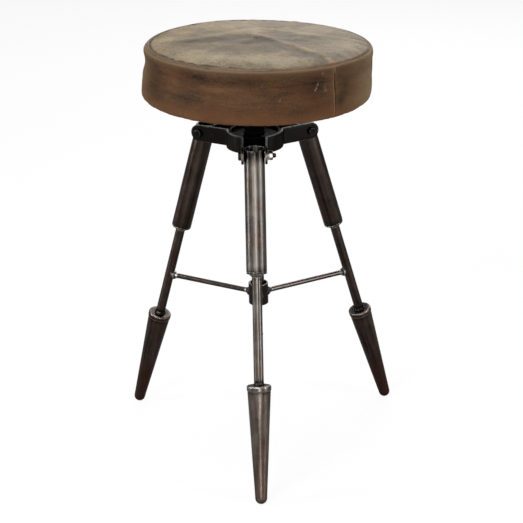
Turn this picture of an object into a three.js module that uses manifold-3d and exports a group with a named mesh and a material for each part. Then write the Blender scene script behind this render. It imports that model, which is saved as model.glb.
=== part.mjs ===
// Three-legged screw stool: a round leather seat on a threaded spindle, which turns in a nut
// held by a ring of three bent steel straps. Each leg is bolted between two strap ears, and
// three rods tie the legs to a low hub tube. Millimetres, +Z up, floor at z = 0, and the
// spindle's axis is the Z axis.

import * as THREE from 'three';
import { mergeVertices } from 'three/addons/utils/BufferGeometryUtils.js';
import Module from 'manifold-3d';

const wasm = await Module();
wasm.setup();

// ---- driving dimensions -------------------------------------------------------------------

const GAP = 0.3; // clearance between pieces that touch

// sides of a round shape, by its size
const SIDES_SEAT = 48;
const SIDES_TUBE = 32;
const SIDES_ROD = 20;
const SIDES_HOLE = 12;

// overall
const SEAT_TOP_Z = 700; // seat height at its lowest setting
const SEAT_R = 185;
const CUSHION_T = 82; // leather band, from lower edge to crown

// legs
const LEG_AZIMUTHS = { front: -90, left: 150, right: 30 }; // degrees about +Z
const BOLT_HEAD_SIDE = { front: -1, left: 1, right: -1 }; // which ear carries the bolt head
const LEG_TILT = THREE.MathUtils.degToRad(16.95); // from vertical
const PIVOT_R = 97; // bolt axis, from the spindle's axis
const PIVOT_Z = 541.5;
const TUBE_R = 16.7; // 1 inch steel pipe
const TUBE_WALL = 2.7;
const TUBE_TOP = 11.5; // level cut of the tube's top, above its bolt
const TUBE_BELOW = 187; // tube end below its bolt
const CAP_T = 3; // welded plate that closes the tube's lower end
const ROD_R = 8;
const ROD_IN_TUBE = 30; // rod inside the tube, above the cap
const FOOT_TOP = 371; // foot's flat top, measured down the leg from the bolt
const FOOT_TOP_R = 20;
const FOOT_TIP_R = 9.8;
const FOOT_WEAR = 0.5; // flat worn on the round tip where it stands on the floor
const FOOT_BORE_DEPTH = 24;

// bracket of three straps
const STRAP_T = 4;
const STRAP_H = 28; // flat bar width, standing on edge
const RING_R = 47.4; // outside of the strap ring
const EAR_GAP = 0.5; // between a tube and each ear
const EAR_TOP_R = STRAP_H / 2; // rounded ear end, centred on the bolt
const BEND_R = 6.5; // middle of the bend from the ring into an ear

// nut housing inside the ring
const HOUSING_WALL = 4;
const DECK_T = 6;
const NUT_R = 17;
const NUT_BELOW = 30; // nut below the deck
const NUT_ABOVE = 4;

// spindle
const SPINDLE_R = 10;
const SPINDLE_BORE_R = 10.5;
const SPINDLE_BOTTOM_Z = 250; // inside the low hub when the seat is down
const TRAVEL = 150; // how far the seat can be screwed up
const STOP_R = 13; // collar pinned to the spindle, which ends the travel at the nut
const STOP_T = 9;
const STOP_PIN_R = 1.9;
const WASHER_R = 12.6; // loose bronze washer on top of the collar
const WASHER_T = 3;

// stretchers and the low hub
const HUB_R = TUBE_R;
const HUB_Z = 264;
const HUB_H = 37;
const STRETCHER_R = 4.3;
const WELD_REACH = 5; // how far a weld fillet spreads from a rod

// bolts, size M8
const BOLT_R = 4;
const BOLT_HOLE_R = 4.4;
const HEX_ACROSS_FLATS = 13;
const BOLT_HEAD_T = 4.5;
const NUT_T = 6.5;
const BOLT_WASHER_R = 8;
const BOLT_WASHER_T = 1.6;
const BOLT_END = 5; // thread showing past its nut

// seat
const LEATHER_T = 2;
const BOARD_T = 15;
const BOARD_R = 177;
const FLANGE_R = 70;
const FLANGE_T = 5;
const SCREW_CIRCLE_R = 55;
const SCREW_AZIMUTHS = [45, 135, 225, 315];
const SCREW_R = 2.2;
const SCREW_HEAD_R = 5;
const SCREW_HEAD_T = 3;
const SCREW_LENGTH = 13; // shank, from under its head
const HEM_R = 150; // leather turned in under the board
const DUST_COVER_R = 158;
const DUST_COVER_T = 1;
const WELT_R = 1.7;
const WELT_RING_R = 182; // the welt's middle line
const CROWN_DROP = 7; // the top panel's edge below its middle
const BAND_EDGE_R = 10; // rounded lower edge of the leather

const SEAT_BOTTOM_Z = SEAT_TOP_Z - CUSHION_T;
const BOARD_BOTTOM_Z = SEAT_BOTTOM_Z + LEATHER_T + GAP;
const FLANGE_TOP_Z = BOARD_BOTTOM_Z - GAP;
const FLANGE_BOTTOM_Z = FLANGE_TOP_Z - FLANGE_T;
const RING_BOTTOM_Z = PIVOT_Z - STRAP_H / 2;
const RING_TOP_Z = PIVOT_Z + STRAP_H / 2;
const DECK_TOP_Z = RING_TOP_Z - 5;
const EAR_INNER = TUBE_R + EAR_GAP; // an ear's inner face, from the leg's radial plane

// ---- materials ----------------------------------------------------------------------------

const steel = (color, roughness) => new THREE.MeshStandardMaterial({ color, roughness, metalness: 1 });
const soft = (color, roughness) => new THREE.MeshStandardMaterial({ color, roughness, metalness: 0 });

const MATERIAL = {
  leg: () => steel(0x6b5f57, 0.38),
  bracket: () => steel(0x34312d, 0.45),
  foot: () => steel(0x5a514b, 0.42),
  zinc: () => steel(0xc9c7c0, 0.35),
  blackBolt: () => steel(0x26241f, 0.5),
  bronze: () => steel(0xa47b45, 0.4),
  spindle: () => steel(0x4a433b, 0.4),
  leather: () => soft(0x6a4a32, 0.55),
  welt: () => soft(0x7a5a42, 0.6),
  foam: () => soft(0xd8c98f, 0.9),
  plywood: () => soft(0xb08a58, 0.7),
  dustCover: () => soft(0x1c1c1c, 0.95),
};

// ---- geometry helpers ---------------------------------------------------------------------

// A shape with its faces pointing out and its seam vertices merged.
function closed(geometry) {
  const g = geometry.clone();
  g.deleteAttribute('normal');
  g.deleteAttribute('uv');
  const merged = mergeVertices(g, 1e-4);
  const p = merged.attributes.position;
  const index = [];
  for (let i = 0; i < merged.index.count; i += 3) {
    const [a, b, c] = [0, 1, 2].map((k) => merged.index.getX(i + k));
    if (a !== b && b !== c && c !== a) index.push(a, b, c);
  }
  const corner = (i) => new THREE.Vector3().fromBufferAttribute(p, i);
  let volume = 0;
  for (let i = 0; i < index.length; i += 3) {
    volume += corner(index[i]).dot(corner(index[i + 1]).cross(corner(index[i + 2])));
  }
  if (volume < 0) index.reverse();
  merged.setIndex(index);
  return merged;
}

function toSolid(geometry) {
  const g = closed(geometry);
  const mesh = new wasm.Mesh({
    numProp: 3,
    vertProperties: new Float32Array(g.attributes.position.array),
    triVerts: new Uint32Array(g.index.array),
  });
  return new wasm.Manifold(mesh);
}

function toGeometry(solid) {
  const mesh = solid.getMesh();
  const g = new THREE.BufferGeometry();
  g.setAttribute('position', new THREE.BufferAttribute(new Float32Array(mesh.vertProperties), 3));
  g.setIndex(Array.from(mesh.triVerts));
  return g;
}

const subtract = (body, ...tools) => {
  return toGeometry(tools.reduce((solid, tool) => solid.subtract(toSolid(tool)), toSolid(body)));
};
const intersect = (body, tool) => toGeometry(toSolid(body).intersect(toSolid(tool)));
const join = (...parts) => {
  return toGeometry(parts.slice(1).reduce((solid, part) => solid.add(toSolid(part)), toSolid(parts[0])));
};

// Turns a profile of [radius, z] points about the Z axis. A profile that does not start and
// end on the axis is closed on itself.
function turned(profile, segments) {
  const points = profile.map(([r, z]) => new THREE.Vector2(r, z));
  const first = points[0];
  const last = points[points.length - 1];
  if (first.x > 0 || last.x > 0) points.push(first.clone());
  return closed(new THREE.LatheGeometry(points, segments).rotateX(Math.PI / 2));
}

function ring(outerR, innerR, z0, z1, segments) {
  return turned([[innerR, z0], [outerR, z0], [outerR, z1], [innerR, z1]], segments);
}

function disc(r, z0, z1, segments) {
  return turned([[0, z0], [r, z0], [r, z1], [0, z1]], segments);
}

// A cylinder along Y, for cross holes.
const crossHole = (r, length) => new THREE.CylinderGeometry(r, r, length, SIDES_HOLE);

function hexPrism(acrossFlats, height) {
  const r = acrossFlats / Math.sqrt(3);
  return new THREE.CylinderGeometry(r, r, height, 6);
}

// Points on an arc from angle a0 to a1, as [x, y] pairs.
function arcPoints(cx, cy, r, a0, a1, steps) {
  return Array.from({ length: steps + 1 }, (_, i) => {
    const a = a0 + ((a1 - a0) * i) / steps;
    return [cx + r * Math.cos(a), cy + r * Math.sin(a)];
  });
}

// ---- scene graph --------------------------------------------------------------------------

const stool = new THREE.Group();

function addMesh(parent, name, geometry, material) {
  const mesh = new THREE.Mesh(geometry, material);
  mesh.name = name;
  parent.add(mesh);
  return mesh;
}

// A leg's own frame: origin on its bolt, +Z up along the leg, +Y along the bolt.
function legFrame(azimuth) {
  const turnedGroup = new THREE.Group();
  turnedGroup.rotation.z = azimuth;
  const tilted = new THREE.Group();
  tilted.position.set(PIVOT_R, 0, PIVOT_Z);
  tilted.rotation.y = -LEG_TILT;
  turnedGroup.add(tilted);
  stool.add(turnedGroup);
  return tilted;
}

// ---- legs ---------------------------------------------------------------------------------

// Pipe cut square at its lower end and level with the floor at its top.
function legTube() {
  const tube = ring(TUBE_R, TUBE_R - TUBE_WALL, -TUBE_BELOW, 3 * TUBE_TOP, SIDES_TUBE);
  const size = 4 * TUBE_R;
  const aboveCut = new THREE.BoxGeometry(size, size, size).translate(0, 0, TUBE_TOP + size / 2);
  return subtract(tube, aboveCut.rotateY(LEG_TILT), crossHole(BOLT_HOLE_R, TUBE_R * 3));
}

// Stepped plate: its rim butts on the tube's end and its spigot sits in the bore.
function tubeCap() {
  const top = -TUBE_BELOW - GAP;
  const hole = ROD_R + GAP;
  const spigot = TUBE_R - TUBE_WALL - GAP;
  return turned([
    [hole, top - CAP_T], [TUBE_R - 0.6, top - CAP_T], [TUBE_R, top - CAP_T + 0.6], [TUBE_R, top],
    [spigot, top], [spigot, top + 10], [hole, top + 10],
  ], SIDES_TUBE);
}

// Rod with the weld beads that fix it under the cap and on top of the foot.
function legRod() {
  const capFace = -TUBE_BELOW - GAP - CAP_T - GAP;
  const footFace = -FOOT_TOP + GAP;
  const bead = (z, side) => [
    [ROD_R, z + side * WELD_REACH * 0.8], [ROD_R + 1.6, z + side * 2.6],
    [ROD_R + 4.2, z + side * 1.1], [ROD_R + 4.6, z],
  ];
  return turned([
    [0, -FOOT_TOP - FOOT_BORE_DEPTH + 1], [ROD_R - 0.8, -FOOT_TOP - FOOT_BORE_DEPTH + 1],
    [ROD_R, -FOOT_TOP - FOOT_BORE_DEPTH + 1.8], [ROD_R, footFace],
    ...bead(footFace, 1).reverse(), ...bead(capFace, -1), [ROD_R, capFace],
    [ROD_R, -TUBE_BELOW + ROD_IN_TUBE], [0, -TUBE_BELOW + ROD_IN_TUBE],
  ], SIDES_ROD);
}

// Tapered foot with a bored flat top and a half-round tip, worn flat where it meets the floor.
function legFoot() {
  const tipCentre = -(PIVOT_Z - FOOT_TIP_R + FOOT_WEAR) / Math.cos(LEG_TILT);
  const taper = Math.atan2(FOOT_TOP_R - FOOT_TIP_R, -FOOT_TOP - tipCentre);
  const bore = ROD_R + GAP;
  const boreEnd = -FOOT_TOP - FOOT_BORE_DEPTH;
  const tip = arcPoints(0, tipCentre, FOOT_TIP_R, -Math.PI / 2, -taper, 5);
  const foot = turned([
    ...tip.map(([r, z]) => [r < 1e-9 ? 0 : r, z]),
    [FOOT_TOP_R, -FOOT_TOP - 2.2], [FOOT_TOP_R - 1.6, -FOOT_TOP],
    [bore, -FOOT_TOP], [bore, boreEnd], [0, boreEnd],
  ], SIDES_TUBE);
  const floorR = PIVOT_R + PIVOT_Z * Math.tan(LEG_TILT);
  const floorBlock = new THREE.BoxGeometry(60, 60, 20).translate(floorR - PIVOT_R, 0, -PIVOT_Z - 10);
  return subtract(foot, floorBlock.rotateY(LEG_TILT));
}

// ---- bracket ------------------------------------------------------------------------------

// Middle line of one strap seen from above, from the bolt end of the ear beside the leg at
// azimuth 0 to the like ear beside the leg at azimuth 120 degrees.
function strapLine() {
  const ringR = RING_R - STRAP_T / 2;
  const earY = EAR_INNER + STRAP_T / 2;
  const bendY = earY + BEND_R;
  const bendX = Math.sqrt((ringR + BEND_R) ** 2 - bendY ** 2);
  const bendAngle = Math.atan2(bendY, bendX);
  const earEnd = [PIVOT_R + EAR_TOP_R, earY];
  const bend = arcPoints(bendX, bendY, BEND_R, -Math.PI / 2, -Math.PI + bendAngle, 5);
  const third = (2 * Math.PI) / 3;
  const arc = arcPoints(0, 0, ringR, bendAngle, third - bendAngle, 10);
  const half = [earEnd, ...bend];
  const mirror = ([x, y]) => [
    x * Math.cos(third) + y * Math.sin(third), x * Math.sin(third) - y * Math.cos(third),
  ];
  return [...half, ...arc, ...half.map(mirror).reverse()];
}

// The strap's outline: its middle line offset by half the bar's thickness on each side.
function strapOutline() {
  const line = strapLine().filter((p, i, all) => {
    return i === 0 || Math.hypot(p[0] - all[i - 1][0], p[1] - all[i - 1][1]) > 1e-6;
  });
  const side = (sign) => line.map(([x, y], i) => {
    const [ax, ay] = line[Math.max(i - 1, 0)];
    const [bx, by] = line[Math.min(i + 1, line.length - 1)];
    const length = Math.hypot(bx - ax, by - ay);
    const offset = (sign * STRAP_T) / 2;
    return new THREE.Vector2(x - ((by - ay) / length) * offset, y + ((bx - ax) / length) * offset);
  });
  return [...side(1), ...side(-1).reverse()];
}

// A block that holds the whole bracket, with a half-round end that rounds one leg's ears.
function earRounder(azimuth) {
  const reach = 2 * PIVOT_R;
  const shape = new THREE.Shape();
  shape.moveTo(-reach, -STRAP_H);
  shape.lineTo(PIVOT_R, -STRAP_H);
  shape.lineTo(PIVOT_R, -EAR_TOP_R);
  shape.absarc(PIVOT_R, 0, EAR_TOP_R, -Math.PI / 2, Math.PI / 2, false);
  shape.lineTo(PIVOT_R, STRAP_H);
  shape.lineTo(-reach, STRAP_H);
  const solid = { depth: 2 * reach, bevelEnabled: false, curveSegments: 10 };
  const block = new THREE.ExtrudeGeometry(shape, solid);
  return block.rotateX(Math.PI / 2).translate(0, reach, PIVOT_Z).rotateZ(azimuth);
}

function strap() {
  const outline = new THREE.Shape(strapOutline());
  const bar = new THREE.ExtrudeGeometry(outline, { depth: STRAP_H, bevelEnabled: false })
    .translate(0, 0, RING_BOTTOM_Z);
  const third = (2 * Math.PI) / 3;
  const hole = () => crossHole(BOLT_HOLE_R, 60).translate(PIVOT_R, 0, PIVOT_Z);
  const rounded = intersect(intersect(bar, earRounder(0)), earRounder(third));
  return subtract(rounded, hole(), hole().rotateZ(third));
}

// ---- nut housing --------------------------------------------------------------------------

function housingShell() {
  const outer = RING_R - STRAP_T - GAP;
  return ring(outer, outer - HOUSING_WALL, RING_BOTTOM_Z + 1, RING_TOP_Z - 1, SIDES_TUBE);
}

function housingDeck() {
  const r = RING_R - STRAP_T - HOUSING_WALL - 2 * GAP;
  return ring(r, NUT_R + GAP, DECK_TOP_Z - DECK_T, DECK_TOP_Z, SIDES_TUBE);
}

function spindleNut() {
  return ring(NUT_R, SPINDLE_BORE_R, DECK_TOP_Z - NUT_BELOW, DECK_TOP_Z + NUT_ABOVE, SIDES_TUBE);
}

// ---- bolts, one to a leg ------------------------------------------------------------------

// Everything here lies along the leg frame's Y axis; side is the ear that carries the head.
const EAR_OUTER = EAR_INNER + STRAP_T;

function legBolt(side) {
  const start = EAR_OUTER + GAP;
  const washerTop = EAR_OUTER + GAP + BOLT_WASHER_T;
  const end = washerTop + GAP + NUT_T + BOLT_END;
  const shank = turned([
    [0, -end], [BOLT_R - 1.8, -end], [BOLT_R - 0.5, -end + 0.8], [BOLT_R, -end + 2],
    [BOLT_R, start + 1], [0, start + 1],
  ], SIDES_HOLE).rotateX(-Math.PI / 2);
  const head = hexPrism(HEX_ACROSS_FLATS, BOLT_HEAD_T).translate(0, start + BOLT_HEAD_T / 2, 0);
  const bolt = join(head, shank);
  return side < 0 ? bolt.rotateZ(Math.PI) : bolt;
}

function boltWasher(side) {
  const z0 = EAR_OUTER + GAP;
  const washer = ring(BOLT_WASHER_R, BOLT_R + GAP, z0, z0 + BOLT_WASHER_T, SIDES_ROD);
  return washer.rotateX(side < 0 ? -Math.PI / 2 : Math.PI / 2);
}

function boltNut(side) {
  const z0 = EAR_OUTER + GAP + BOLT_WASHER_T + GAP;
  const hex = hexPrism(HEX_ACROSS_FLATS, NUT_T).rotateX(Math.PI / 2).translate(0, 0, z0 + NUT_T / 2);
  const hole = disc(BOLT_R + GAP, z0 - 1, z0 + NUT_T + 1, SIDES_HOLE);
  return subtract(hex, hole).rotateX(side < 0 ? -Math.PI / 2 : Math.PI / 2);
}

// ---- low hub and stretchers ---------------------------------------------------------------

function hubTube() {
  return ring(HUB_R, HUB_R - TUBE_WALL, HUB_Z - HUB_H / 2, HUB_Z + HUB_H / 2, SIDES_TUBE);
}

// A stretcher with a weld fillet at each end, coped to the hub tube and to the sloping rod.
function stretcher() {
  const rodAxisR = PIVOT_R + (PIVOT_Z - HUB_Z) * Math.tan(LEG_TILT);
  const r0 = HUB_R - 2;
  const r1 = rodAxisR - ROD_R + 4;
  const hubFace = HUB_R + GAP;
  const rodFace = rodAxisR - ROD_R / Math.cos(LEG_TILT) - GAP;
  const bar = turned([
    [0, r0], [STRETCHER_R + WELD_REACH, r0], [STRETCHER_R + WELD_REACH * 0.7, hubFace + 1.4],
    [STRETCHER_R + 1, hubFace + 4.4], [STRETCHER_R, hubFace + 7], [STRETCHER_R, rodFace - 5],
    [STRETCHER_R + 1, rodFace - 3], [STRETCHER_R + 2.6, rodFace - 1], [STRETCHER_R + 2.8, r1], [0, r1],
  ], SIDES_HOLE).rotateY(Math.PI / 2).translate(0, 0, HUB_Z);
  const hubCut = disc(hubFace, HUB_Z - HUB_H, HUB_Z + HUB_H, SIDES_TUBE);
  const rodCut = new THREE.CylinderGeometry(ROD_R + GAP, ROD_R + GAP, 3 * HUB_H, SIDES_ROD)
    .rotateX(Math.PI / 2).rotateY(-LEG_TILT).translate(rodAxisR, 0, HUB_Z);
  return subtract(bar, hubCut, rodCut);
}

// ---- seat ---------------------------------------------------------------------------------

const NUT_BOTTOM_Z = DECK_TOP_Z - NUT_BELOW;
const NUT_TOP_Z = DECK_TOP_Z + NUT_ABOVE;
const WASHER_TOP_Z = NUT_BOTTOM_Z - TRAVEL - GAP;
const STOP_TOP_Z = WASHER_TOP_Z - WASHER_T - GAP;
const STOP_PIN_Z = STOP_TOP_Z - STOP_T / 2;

function spindle() {
  const rod = turned([
    [0, SPINDLE_BOTTOM_Z], [SPINDLE_R - 1.5, SPINDLE_BOTTOM_Z], [SPINDLE_R, SPINDLE_BOTTOM_Z + 1.5],
    [SPINDLE_R, FLANGE_TOP_Z], [0, FLANGE_TOP_Z],
  ], SIDES_ROD);
  return subtract(rod, crossHole(STOP_PIN_R + GAP, 4 * SPINDLE_R).translate(0, 0, STOP_PIN_Z));
}

function stopCollar() {
  const collar = ring(STOP_R, SPINDLE_R + GAP, STOP_TOP_Z - STOP_T, STOP_TOP_Z, SIDES_ROD);
  return subtract(collar, crossHole(STOP_PIN_R + GAP, 4 * STOP_R).translate(0, 0, STOP_PIN_Z));
}

function stopPin() {
  return crossHole(STOP_PIN_R, 2 * STOP_R + 1.5).translate(0, 0, STOP_PIN_Z);
}

function stopWasher() {
  return ring(WASHER_R, SPINDLE_R + GAP, WASHER_TOP_Z - WASHER_T, WASHER_TOP_Z, SIDES_ROD);
}

// Pipe round the top of the spindle, welded under the flange. It stands on the nut when the
// seat is fully down.
function seatSocket() {
  const top = FLANGE_BOTTOM_Z - GAP;
  return turned([
    [SPINDLE_R + GAP, NUT_TOP_Z + GAP], [TUBE_R - 0.8, NUT_TOP_Z + GAP], [TUBE_R, NUT_TOP_Z + GAP + 0.8],
    [TUBE_R, top - WELD_REACH], [TUBE_R + 1.4, top - 2.2], [TUBE_R + WELD_REACH, top],
    [SPINDLE_R + GAP, top],
  ], SIDES_TUBE);
}

function seatFlange() {
  const plate = ring(FLANGE_R, SPINDLE_R + GAP, FLANGE_BOTTOM_Z, FLANGE_TOP_Z, SIDES_TUBE);
  return subtract(plate, ...screwPlaces().map(([x, y]) => {
    return disc(SCREW_R + 1, FLANGE_BOTTOM_Z - 5, FLANGE_TOP_Z + 5, SIDES_HOLE).translate(x, y, 0);
  }));
}

function screwPlaces() {
  return SCREW_AZIMUTHS.map((degrees) => {
    const a = THREE.MathUtils.degToRad(degrees);
    return [SCREW_CIRCLE_R * Math.cos(a), SCREW_CIRCLE_R * Math.sin(a)];
  });
}

// Pan-head wood screw, head down.
function flangeScrew() {
  const under = FLANGE_BOTTOM_Z - GAP;
  const tip = under + SCREW_LENGTH;
  return turned([
    [0, under - SCREW_HEAD_T], [SCREW_HEAD_R - 2, under - SCREW_HEAD_T],
    [SCREW_HEAD_R, under - 1.2], [SCREW_HEAD_R, under], [SCREW_R, under],
    [SCREW_R, tip - 3], [0, tip],
  ], SIDES_HOLE);
}

function seatBoard() {
  const top = BOARD_BOTTOM_Z + BOARD_T;
  const board = turned([
    [0, BOARD_BOTTOM_Z], [BOARD_R - 7, BOARD_BOTTOM_Z], [BOARD_R, BOARD_BOTTOM_Z + 5],
    [BOARD_R, top], [0, top],
  ], SIDES_SEAT);
  const pilotTop = BOARD_BOTTOM_Z + SCREW_LENGTH;
  return subtract(board, ...screwPlaces().map(([x, y]) => {
    return disc(SCREW_R + GAP, BOARD_BOTTOM_Z - 5, pilotTop, SIDES_HOLE).translate(x, y, 0);
  }));
}

// Height of the leather's crowned top at a distance r from the seat's middle.
const crownZ = (r) => SEAT_TOP_Z - CROWN_DROP * (r / WELT_RING_R) ** 3;
const CROWN_STEPS = [0, 0.5, 0.75, 0.9, 1];

function seatFoam() {
  const r = BOARD_R + 1;
  const top = CROWN_STEPS.map((t) => [r * t, crownZ(r * t) - LEATHER_T - GAP]);
  const bottom = BOARD_BOTTOM_Z + BOARD_T + GAP;
  return turned([[0, bottom], [r, bottom], ...top.reverse()], SIDES_SEAT);
}

function coverTop() {
  const r = WELT_RING_R - WELT_R - GAP;
  const outer = CROWN_STEPS.map((t) => [r * t, crownZ(r * t)]);
  const inner = outer.map(([x, z]) => [x, z - LEATHER_T]);
  return turned([...inner, ...outer.reverse()], SIDES_SEAT);
}

function coverWelt() {
  const z = crownZ(WELT_RING_R) - WELT_R / 2;
  return turned(arcPoints(WELT_RING_R, z, WELT_R, 0, 2 * Math.PI, 6).slice(0, -1), SIDES_SEAT);
}

// Side band: it bulges a little, rounds the board's edge and is turned in beneath it.
function coverBand() {
  const top = crownZ(WELT_RING_R) - 1.5 * WELT_R - GAP;
  const side = (inset) => [[WELT_RING_R + WELT_R - 1 - inset, top], [SEAT_R - inset, top - 26]];
  const edge = (inset) => {
    const centreR = SEAT_R - 1 - BAND_EDGE_R;
    return arcPoints(centreR, SEAT_BOTTOM_Z + BAND_EDGE_R, BAND_EDGE_R - inset, 0, -Math.PI / 2, 3);
  };
  const outer = [...side(0), ...edge(0), [HEM_R, SEAT_BOTTOM_Z]];
  const inner = [...side(LEATHER_T), ...edge(LEATHER_T), [HEM_R, SEAT_BOTTOM_Z + LEATHER_T]];
  return turned([...outer, ...inner.reverse()], SIDES_SEAT);
}

function dustCover() {
  const top = SEAT_BOTTOM_Z - GAP;
  return ring(DUST_COVER_R, FLANGE_R + GAP, top - DUST_COVER_T, top, SIDES_SEAT);
}

// ---- assembly -----------------------------------------------------------------------------

for (const [place, degrees] of Object.entries(LEG_AZIMUTHS)) {
  const azimuth = THREE.MathUtils.degToRad(degrees);
  const leg = legFrame(azimuth);
  const side = BOLT_HEAD_SIDE[place];
  addMesh(leg, `leg_tube_${place}`, legTube(), MATERIAL.leg());
  addMesh(leg, `tube_end_plate_${place}`, tubeCap(), MATERIAL.leg());
  addMesh(leg, `leg_rod_${place}`, legRod(), MATERIAL.leg());
  addMesh(leg, `foot_${place}`, legFoot(), MATERIAL.foot());
  addMesh(leg, `leg_bolt_${place}`, legBolt(side), MATERIAL.blackBolt());
  addMesh(leg, `bolt_washer_${place}`, boltWasher(side), MATERIAL.zinc());
  addMesh(leg, `bolt_nut_${place}`, boltNut(side), MATERIAL.zinc());
  addMesh(stool, `stretcher_${place}`, stretcher(), MATERIAL.leg()).rotation.z = azimuth;
}

// A strap runs from one leg to the next, 120 degrees further round.
for (const [name, from] of [['front_right', 'front'], ['back', 'right'], ['front_left', 'left']]) {
  const bar = addMesh(stool, `strap_${name}`, strap(), MATERIAL.bracket());
  bar.rotation.z = THREE.MathUtils.degToRad(LEG_AZIMUTHS[from]);
}

addMesh(stool, 'housing_drum', housingShell(), MATERIAL.bracket());
addMesh(stool, 'housing_deck', housingDeck(), MATERIAL.bracket());
addMesh(stool, 'spindle_nut', spindleNut(), MATERIAL.bracket());
addMesh(stool, 'hub_tube', hubTube(), MATERIAL.leg());

addMesh(stool, 'spindle', spindle(), MATERIAL.spindle());
addMesh(stool, 'stop_collar', stopCollar(), MATERIAL.spindle());
addMesh(stool, 'stop_pin', stopPin(), MATERIAL.zinc());
addMesh(stool, 'stop_washer', stopWasher(), MATERIAL.bronze());
addMesh(stool, 'seat_socket', seatSocket(), MATERIAL.bracket());
addMesh(stool, 'seat_flange', seatFlange(), MATERIAL.bracket());
screwPlaces().forEach(([x, y], i) => {
  addMesh(stool, `flange_screw_${i + 1}`, flangeScrew(), MATERIAL.zinc()).position.set(x, y, 0);
});

addMesh(stool, 'seat_board', seatBoard(), MATERIAL.plywood());
addMesh(stool, 'seat_foam', seatFoam(), MATERIAL.foam());
addMesh(stool, 'cover_top', coverTop(), MATERIAL.leather());
addMesh(stool, 'cover_welt', coverWelt(), MATERIAL.welt());
addMesh(stool, 'cover_band', coverBand(), MATERIAL.leather());
addMesh(stool, 'dust_cover', dustCover(), MATERIAL.dustCover());

export default stool;
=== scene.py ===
"""Looks of the three-legged screw stool: every CAD node is replaced by a finer piece in the same place."""

import math
from math import cos, hypot, pi, radians, sin

import bmesh
import bpy
import numpy as np
from mathutils import Matrix, Vector, noise


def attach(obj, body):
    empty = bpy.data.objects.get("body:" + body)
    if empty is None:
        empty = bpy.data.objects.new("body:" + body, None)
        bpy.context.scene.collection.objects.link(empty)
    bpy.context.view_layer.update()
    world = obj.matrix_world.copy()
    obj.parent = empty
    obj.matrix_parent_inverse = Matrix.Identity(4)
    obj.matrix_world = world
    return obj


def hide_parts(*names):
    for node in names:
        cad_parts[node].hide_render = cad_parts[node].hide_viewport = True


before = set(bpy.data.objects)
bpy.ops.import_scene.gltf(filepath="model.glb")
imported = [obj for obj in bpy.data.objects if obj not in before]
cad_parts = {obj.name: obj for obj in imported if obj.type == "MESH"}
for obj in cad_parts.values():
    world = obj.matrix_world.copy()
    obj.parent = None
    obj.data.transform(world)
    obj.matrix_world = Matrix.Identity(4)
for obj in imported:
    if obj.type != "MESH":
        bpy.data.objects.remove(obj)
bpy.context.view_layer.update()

# ---- dimensions shared with the CAD part, in millimetres ----

MM = 0.001
GAP = 0.3
LEGS = {"front": (-90, -1), "left": (150, 1), "right": (30, -1)}  # azimuth, side of the bolt's head
STRAPS = {"front_right": -90, "back": 30, "front_left": 150}  # azimuth of the strap's first leg
LEG_TILT = radians(16.95)
PIVOT_R, PIVOT_Z = 97, 541.5
TUBE_R, TUBE_WALL, TUBE_TOP, TUBE_BELOW = 16.7, 2.7, 11.5, 187
CAP_T = 3
ROD_R, ROD_IN_TUBE = 8, 30
FOOT_TOP, FOOT_TOP_R, FOOT_TIP_R, FOOT_WEAR, FOOT_BORE = 371, 20, 9.8, 0.5, 24
STRAP_T, STRAP_H, RING_R, EAR_GAP, BEND_R = 4, 28, 47.4, 0.5, 6.5
EAR_R = STRAP_H / 2
EAR_INNER = TUBE_R + EAR_GAP
EAR_OUTER = EAR_INNER + STRAP_T
RING_BOTTOM, RING_TOP = PIVOT_Z - STRAP_H / 2, PIVOT_Z + STRAP_H / 2
HOUSING_WALL, DECK_T, NUT_R = 4, 6, 17
DECK_TOP = RING_TOP - 5
NUT_BOTTOM, NUT_TOP = DECK_TOP - 30, DECK_TOP + 4
SCREW_R, SCREW_BORE_R, SCREW_BOTTOM, LEAD = 10, 10.5, 250, 6
COLLAR_R, COLLAR_T, PIN_R, WASHER_R, WASHER_T, TRAVEL = 13, 9, 1.9, 12.6, 3, 150
WASHER_TOP = NUT_BOTTOM - TRAVEL - GAP
COLLAR_TOP = WASHER_TOP - WASHER_T - GAP
HUB_R, HUB_Z, HUB_H = 16.7, 264, 37
TIE_R, WELD_REACH = 4.3, 5
BOLT_R, HEX, HEAD_T, BOLT_NUT_T, BOLT_WASHER_R, BOLT_WASHER_T, BOLT_END = 4, 13, 4.5, 6.5, 8, 1.6, 5
HEX_CORNER, HEX_CHAMFER = HEX * 0.575, HEX * 0.46
SEAT_R, SEAT_BOTTOM = 185, 618
LEATHER_T, BOARD_R, BOARD_T, HEM_R = 2, 177, 15, 150
BOARD_BOTTOM = SEAT_BOTTOM + LEATHER_T + GAP
PLATE_R, PLATE_T, PLATE_TOP = 70, 5, SEAT_BOTTOM + LEATHER_T
PLATE_BOTTOM = PLATE_TOP - PLATE_T
PLATE_SCREWS = (45, 135, 225, 315)
PLATE_SCREW_CIRCLE, PLATE_SCREW_R, PLATE_SCREW_HEAD_R, PLATE_SCREW_HEAD_T = 55, 2.2, 5, 3
DUST_R, DUST_T = 158, 1
BUTT_SEAM = radians(-48.6)  # where the band's two ends are sewn together, at its lower edge
SEAM_SLANT = -0.04  # how much further round the seam starts at the top
SEAM_LIP = 1.7  # from the butt seam's line to the middle of each lip

# ---- materials ----

RUST_TINT = (0.74, 0.55, 0.44)  # what rust leaves of a steel's light colour
# Near black: the colour of soot, and of painted shade where a piece marks it
SOOT_AND_SHADE = (13, 11, 10)


def srgb(*rgb):
    """A display colour of 0 to 255 as the linear colour that a shader takes."""
    linear = [(c / 255 / 12.92) if c / 255 <= 0.04045 else ((c / 255 + 0.055) / 1.055) ** 2.4 for c in rgb]
    return (*linear, 1)


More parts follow.
